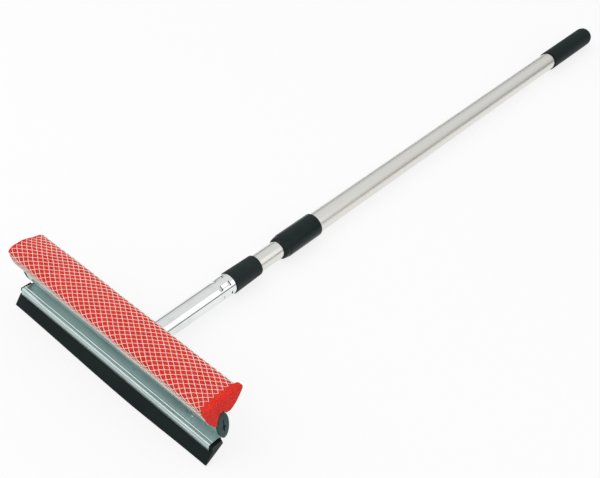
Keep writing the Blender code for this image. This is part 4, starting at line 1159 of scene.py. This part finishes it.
class SpongeSide:
    """The sponge's side, with the net's lattice on it.

    A point has a place across the head and a way round the section, from the front of the neck."""

    def __init__(self, sizes):
        noise.seed_set(SWAY_SEED)
        self.netted = smooth_chain(NETTED_SHARES)
        self.bare = smooth_chain(BARE_SHARES)
        self.ways = [0.0]
        for before, after in zip(self.netted, self.netted[1:]):
            self.ways.append(self.ways[-1] + (after - before).length)
        self.girth = self.ways[-1]
        self.columns = round((NET_RIGHT - NET_LEFT) / (sizes.cell_length / 2))
        self.rows = round(self.girth / (sizes.cell_height / 2))
        self.column = (NET_RIGHT - NET_LEFT) / self.columns
        self.row = self.girth / self.rows

    def outline(self, across, way):
        """The outline's own place and outward direction, in the section."""
        way = min(max(way, 0.0), self.girth)
        high = min(max(bisect.bisect_left(self.ways, way), 1), len(self.ways) - 1)
        part = (way - self.ways[high - 1]) / (self.ways[high] - self.ways[high - 1])
        share = smooth((across - BARE_START) / (BARE_END - BARE_START))
        before, after = (self.netted[i].lerp(self.bare[i], share) for i in (high - 1, high))
        along = self.tangent(high - 1, share).lerp(self.tangent(high, share), part)
        return before.lerp(after, part), Vector((along.y, -along.x)).normalized()

    def tangent(self, i, share):
        """The way along the outline at one of its points, from the points beside it."""
        beside = (min(i + 1, len(self.ways) - 1), max(i - 1, 0))
        after, before = (self.netted[place].lerp(self.bare[place], share) for place in beside)
        return after - before

    def place(self, across, way, height=0.0):
        """A point's forward and height, off the outline by a height that follows the sponge's waves."""
        middle, out = self.outline(across, way)
        wave = noise.noise(Vector((across, way * 2, WAVE_LAYER)) / WAVE_LENGTH) * WAVE_HEIGHT
        lift = smooth((LIFT_START - across) / LIFT_SPAN) * smooth((middle.x - LIFT_BACK) / LIFT_DEPTH)
        lift *= smooth((middle.y - LIFT_LOW) / LIFT_RISE)
        return middle + out * (height + wave) + Vector((0, LIFT * lift))

    def sway(self, across, way):
        """How far the lattice is pulled out of line there, across and round. Its ends stay in line."""
        pull = noise.noise_vector(Vector((across, way, SWAY_LAYER)) / SWAY_LENGTH) * SWAY
        held = smooth((across - NET_LEFT) / SWAY_LENGTH) * smooth((NET_RIGHT - across) / SWAY_LENGTH)
        fade = smooth(way / DRIFT_FADE) * smooth((self.girth - way) / DRIFT_FADE)
        lean = COLUMN_LEAN * (way - self.girth / 2)
        return (pull.x + lean) * held, pull.y * held + ROW_DRIFT * across * fade

    def lattice(self, across, way):
        """Column and row of a place, counted in half cells."""
        return (across - NET_LEFT) / self.column, way / self.row


def clear_of_cap(across, place):
    """Where a point across the head goes so that it stays out of an end cap's room."""
    off = place - OVAL_PLACE
    cosine, sine = math.cos(OVAL_LEAN), math.sin(OVAL_LEAN)
    wide = (off.x * cosine - off.y * sine) / (OVAL_HALF_WIDTH + CAP_ROOM)
    tall = (off.x * sine + off.y * cosine) / (OVAL_HALF_HEIGHT + CAP_ROOM)
    if math.hypot(wide, tall) > 1:
        return across
    return min(CHANNEL_HALF - GAP, max(GAP - CHANNEL_HALF, across))


def foam_height(side, sizes, across, way):
    """How far the foam stands off the net's middle line: low under the strands, high in the cells."""
    column, row = side.lattice(across, way)
    cell = abs(math.sin(QUARTER * (column + row)) * math.sin(QUARTER * (column - row)))
    start = smooth((across - NET_LEFT) / FOAM_FADE + 0.5)
    end = smooth((NET_RIGHT - across) / FOAM_FADE + 1.0)
    grain = noise.noise(Vector((across, way, ROUGH_LAYER)) / ROUGH_LENGTH) * ROUGH_HEIGHT
    return (sizes.bulge * cell - FOAM_UNDER) * start * end + grain


def foam_stations(side):
    """Places along the foam, each with how far its edge is worn off and the share of its face left."""
    low, high = BOX["sponge"]
    start, end = [], []
    sides = ((start, low.x, 1, FOAM_LEFT_ROUND), (end, high.x, -1, FOAM_RIGHT_ROUND))
    for stations, edge, inward, size in sides:
        stations += [(edge, size, step / FOAM_FACE_STEPS) for step in range(FOAM_FACE_STEPS)]
        for step in range(FOAM_EDGE_STEPS + 1):
            turn = QUARTER * step / FOAM_EDGE_STEPS
            stations.append((edge + inward * size * (1 - math.cos(turn)), size * (1 - math.sin(turn)), 1))
    end.reverse()
    step = side.column / FOAM_STEPS
    first = math.ceil((start[-1][0] - NET_LEFT) / step + STATION_CLEARANCE)
    last = math.floor((end[0][0] - NET_LEFT) / step - STATION_CLEARANCE)
    return start + [(NET_LEFT + step * i, 0.0, 1) for i in range(first, last + 1)] + end


class SQUEEGEE_OT_foam(bpy.types.Operator):
    """Make the foam, which swells in the net's cells and bare at its right end"""

    bl_idname = "squeegee.foam"
    bl_label = "Foam"

    def execute(self, context):
        sizes = context.scene.squeegee_sizes
        side = SpongeSide(sizes)
        rows = FOAM_STEPS * side.rows
        rings = []
        for across, worn, share in foam_stations(side):
            if share == 0:
                rings.append([head_point(across, SPONGE_MIDDLE)])
                continue
            ring = []
            for row in range(rows + 1):
                way = side.girth * row / rows
                pulled = side.sway(across, way)
                height = foam_height(side, sizes, across, way)
                away = side.place(across + pulled[0], way + pulled[1], height) - SPONGE_MIDDLE
                place = SPONGE_MIDDLE + away * share * (1 - worn / away.length)
                ring.append(head_point(clear_of_cap(across + pulled[0], place), place))
            rings.append(ring)
        shape = bmesh.new()
        skin(shape, rings)
        foam = new_piece("sponge_foam", shape)
        stand_for(foam, "foam", "sponge")
        return {"FINISHED"}


def net_lattice(side):
    """The net laid flat, across and round: one face to each diamond."""
    shape = bmesh.new()
    knots = {}
    for row in range(1, side.rows):
        for column in range(1, side.columns):
            if (row + column) % 2 == 0:
                continue
            ring = ((column - 1, row), (column, row - 1), (column + 1, row), (column, row + 1))
            places = [(NET_LEFT + c * side.column, r * side.row) for c, r in ring]
            if any(clear_of_cap(across, side.place(across, way)) != across for across, way in places):
                continue
            for knot, (across, way) in zip(ring, places):
                if knot not in knots:
                    knots[knot] = shape.verts.new((across, way, 0))
            shape.faces.new([knots[knot] for knot in ring])
    return shape


def knot_away(side, across, way):
    """Vector from the nearest knot, across and round."""
    column, row = side.lattice(across, way)
    nearest = []
    for c in (math.floor(column), math.ceil(column)):
        for r in (math.floor(row), math.ceil(row)):
            if (c + r) % 2 == 0:
                nearest.append(Vector(((column - c) * side.column, (row - r) * side.row)))
    return min(nearest, key=lambda away: away.length) if nearest else None


class SQUEEGEE_OT_net(bpy.types.Operator):
    """Knot the diamond net over the foam and run its hem along the lower front edge"""

    bl_idname = "squeegee.net"
    bl_label = "Net"

    def execute(self, context):
        sizes = context.scene.squeegee_sizes
        side = SpongeSide(sizes)
        net = new_piece("sponge_net", net_lattice(side))
        wire = net.modifiers.new("strands", "WIREFRAME")
        wire.thickness = sizes.strand
        wire.offset = 0
        wire.use_even_offset = False
        wire.use_boundary = True
        fine = net.modifiers.new("short faces", "SUBSURF")
        fine.subdivision_type = "SIMPLE"
        fine.levels = 1
        fine.render_levels = 1
        use_modifiers(net)
        for vertex in net.data.vertices:
            vertex.co = self.laid(side, vertex.co)
        net.data.shade_smooth()
        stand_for(net, "net", "net_sleeve")
        hem = self.hem(side)
        return {"FINISHED"}

    def laid(self, side, flat):
        """A point of the flat net laid on the sponge, thicker at its knots."""
        across, way, height = flat
        away = knot_away(side, across, way)
        if away is not None:
            swell = KNOT_SWELL * math.exp(-((away.length / KNOT_SPREAD) ** 2))
            height *= 1 + swell
            across += away.x * swell
            way += away.y * swell
        pulled = side.sway(across, way)
        across, way = across + pulled[0], way + pulled[1]
        return head_point(across, side.place(across, way, height))

    def hem(self, side):
        """The cord in the net's hem, along the lower front edge."""
        way = side.ways[HEM_CORNER * OUTLINE_STEPS] + HEM_ABOVE
        count = round((CHANNEL_HALF + BOX["sponge"][1].x - CUT_OVERRUN) / HEM_STEP)
        shape = bmesh.new()
        rings = []
        for step in range(count + 1):
            across = CUT_OVERRUN - BOX["sponge"][1].x + HEM_STEP * step
            pulled = side.sway(across, way)[1]
            middle = side.place(across, way + pulled, HEM_RADIUS / 2)
            radius = HEM_RADIUS * (HEM_TIP if step in (0, count) else 1)
            ring = []
            for corner in range(HEM_SIDES):
                turn = 2 * math.pi * corner / HEM_SIDES
                off = radius * Vector((math.cos(turn), math.sin(turn)))
                ring.append(head_point(across, middle + off))
            rings.append(ring)
        first, last = (sum(ring, Vector()) / HEM_SIDES for ring in (rings[0], rings[-1]))
        rings = [[first]] + rings + [[last]]
        skin(shape, rings)
        hem = new_piece("net_hem", shape)
        hem.data.materials.append(finish_named("hem"))
        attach(hem, frame["nodes"]["net_sleeve"]["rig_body"])
        return hem


class SQUEEGEE_OT_inner_pieces(bpy.types.Operator):
    """Give the hidden rod and twist lock their finishes"""

    bl_idname = "squeegee.inner_pieces"
    bl_label = "Rod and twist lock"

    def execute(self, context):
        for node, finish in INNER_PIECES.items():
            for slot in frame["nodes"][node].material_slots:
                slot.material = finish_named(finish)
        return {"FINISHED"}


def add_lamp(name, place, target, size, power):
    """A square area lamp that faces a point."""
    lamp = bpy.data.lights.new(name, "AREA")
    lamp.size = size
    lamp.energy = power
    obj = bpy.data.objects.new(name, lamp)
    obj.location = place
    obj.rotation_euler = (Vector(target) - Vector(place)).to_track_quat("-Z", "Y").to_euler()
    bpy.context.scene.collection.objects.link(obj)
    return obj


class SQUEEGEE_OT_stage(bpy.types.Operator):
    """Make the pale floor, the soft lamps, the room's light and the camera"""

    bl_idname = "squeegee.stage"
    bl_label = "Studio"

    def execute(self, context):
        scene = context.scene
        studio = scene.squeegee_studio
        shape = bmesh.new()
        bmesh.ops.create_grid(shape, x_segments=1, y_segments=1, size=FLOOR_SIZE / 2)
        floor = new_piece("floor", shape)
        floor.location.z = -FLOOR_DROP
        floor.data.materials.append(floor_finish("pale floor", studio.floor))
        add_lamp("key", *KEY_LAMP, studio.key_power)
        add_lamp("fill", *FILL_LAMP, studio.fill_power)
        self.set_room(scene, studio.sky)
        camera = bpy.data.cameras.new("camera")
        camera.lens = CAMERA_LENS
        camera.clip_start = CAMERA_NEAR
        holder = bpy.data.objects.new("camera", camera)
        place = Matrix.Translation(CAMERA_PLACE)
        for angle, axis in ((CAMERA_YAW, "Z"), (QUARTER - CAMERA_DROP, "X"), (CAMERA_ROLL, "Z")):
            place = place @ Matrix.Rotation(angle, 4, axis)
        holder.matrix_world = place
        scene.collection.objects.link(holder)
        scene.camera = holder
        scene.view_settings.view_transform = "Standard"
        return {"FINISHED"}

    def set_room(self, scene, strength):
        """A bright room with a darker band above the horizon, which the bright metal mirrors."""
        world = bpy.data.worlds.new("studio room")
        world.use_nodes = True
        scene.world = world
        finish = Finish(world.node_tree)
        ray = finish.add("ShaderNodeTexCoord", output="Generated")
        height = finish.add("ShaderNodeSeparateXYZ", sockets={0: ray}, output="Z")
        band = finish.add("ShaderNodeValToRGB", {"stops": ROOM_STOPS}, {0: height * 0.5 + 0.5})
        seen = finish.add("ShaderNodeLightPath", output="Is Camera Ray")
        level = seen + (1 - seen) * strength
        colour = finish.blend(band, WHITE, seen)
        background = world.node_tree.nodes["Background"]
        finish.feed(background.inputs["Color"], colour)
        finish.feed(background.inputs["Strength"], level)


class SQUEEGEE_PT_panel(bpy.types.Panel):
    """Lists the squeegee's pieces"""

    bl_idname = "SQUEEGEE_PT_panel"
    bl_label = "Telescopic squeegee"
    bl_space_type = "VIEW_3D"
    bl_region_type = "UI"
    bl_category = "Squeegee"

    def draw(self, context):
        scene = context.scene
        for group in (scene.squeegee_sizes, scene.squeegee_colours, scene.squeegee_studio):
            box = self.layout.box()
            for name in group.__annotations__:
                box.prop(group, name)
        for operator in OPERATORS:
            self.layout.operator(operator.bl_idname)


OPERATORS = (
    SQUEEGEE_OT_tubes,
    SQUEEGEE_OT_grip,
    SQUEEGEE_OT_lock_sleeve,
    SQUEEGEE_OT_socket_collar,
    SQUEEGEE_OT_ferrule,
    SQUEEGEE_OT_rigid_pieces,
    SQUEEGEE_OT_blade_channel,
    SQUEEGEE_OT_rubber_blade,
    SQUEEGEE_OT_foam,
    SQUEEGEE_OT_net,
    SQUEEGEE_OT_inner_pieces,
    SQUEEGEE_OT_stage,
)
GROUPS = {
    "squeegee_sizes": SqueegeeSizes,
    "squeegee_colours": SqueegeeColours,
    "squeegee_studio": SqueegeeStudio,
}


def register():
    for name, group in GROUPS.items():
        bpy.utils.register_class(group)
        setattr(bpy.types.Scene, name, bpy.props.PointerProperty(type=group))
    for operator in OPERATORS:
        bpy.utils.register_class(operator)
    bpy.utils.register_class(SQUEEGEE_PT_panel)


def unregister():
    bpy.utils.unregister_class(SQUEEGEE_PT_panel)
    for operator in reversed(OPERATORS):
        bpy.utils.unregister_class(operator)
    for name, group in GROUPS.items():
        delattr(bpy.types.Scene, name)
        bpy.utils.unregister_class(group)


def main():
    register()
    for operator in OPERATORS:
        group, name = operator.bl_idname.split(".")
        getattr(getattr(bpy.ops, group), name)()


if __name__ == "__main__":
    main()
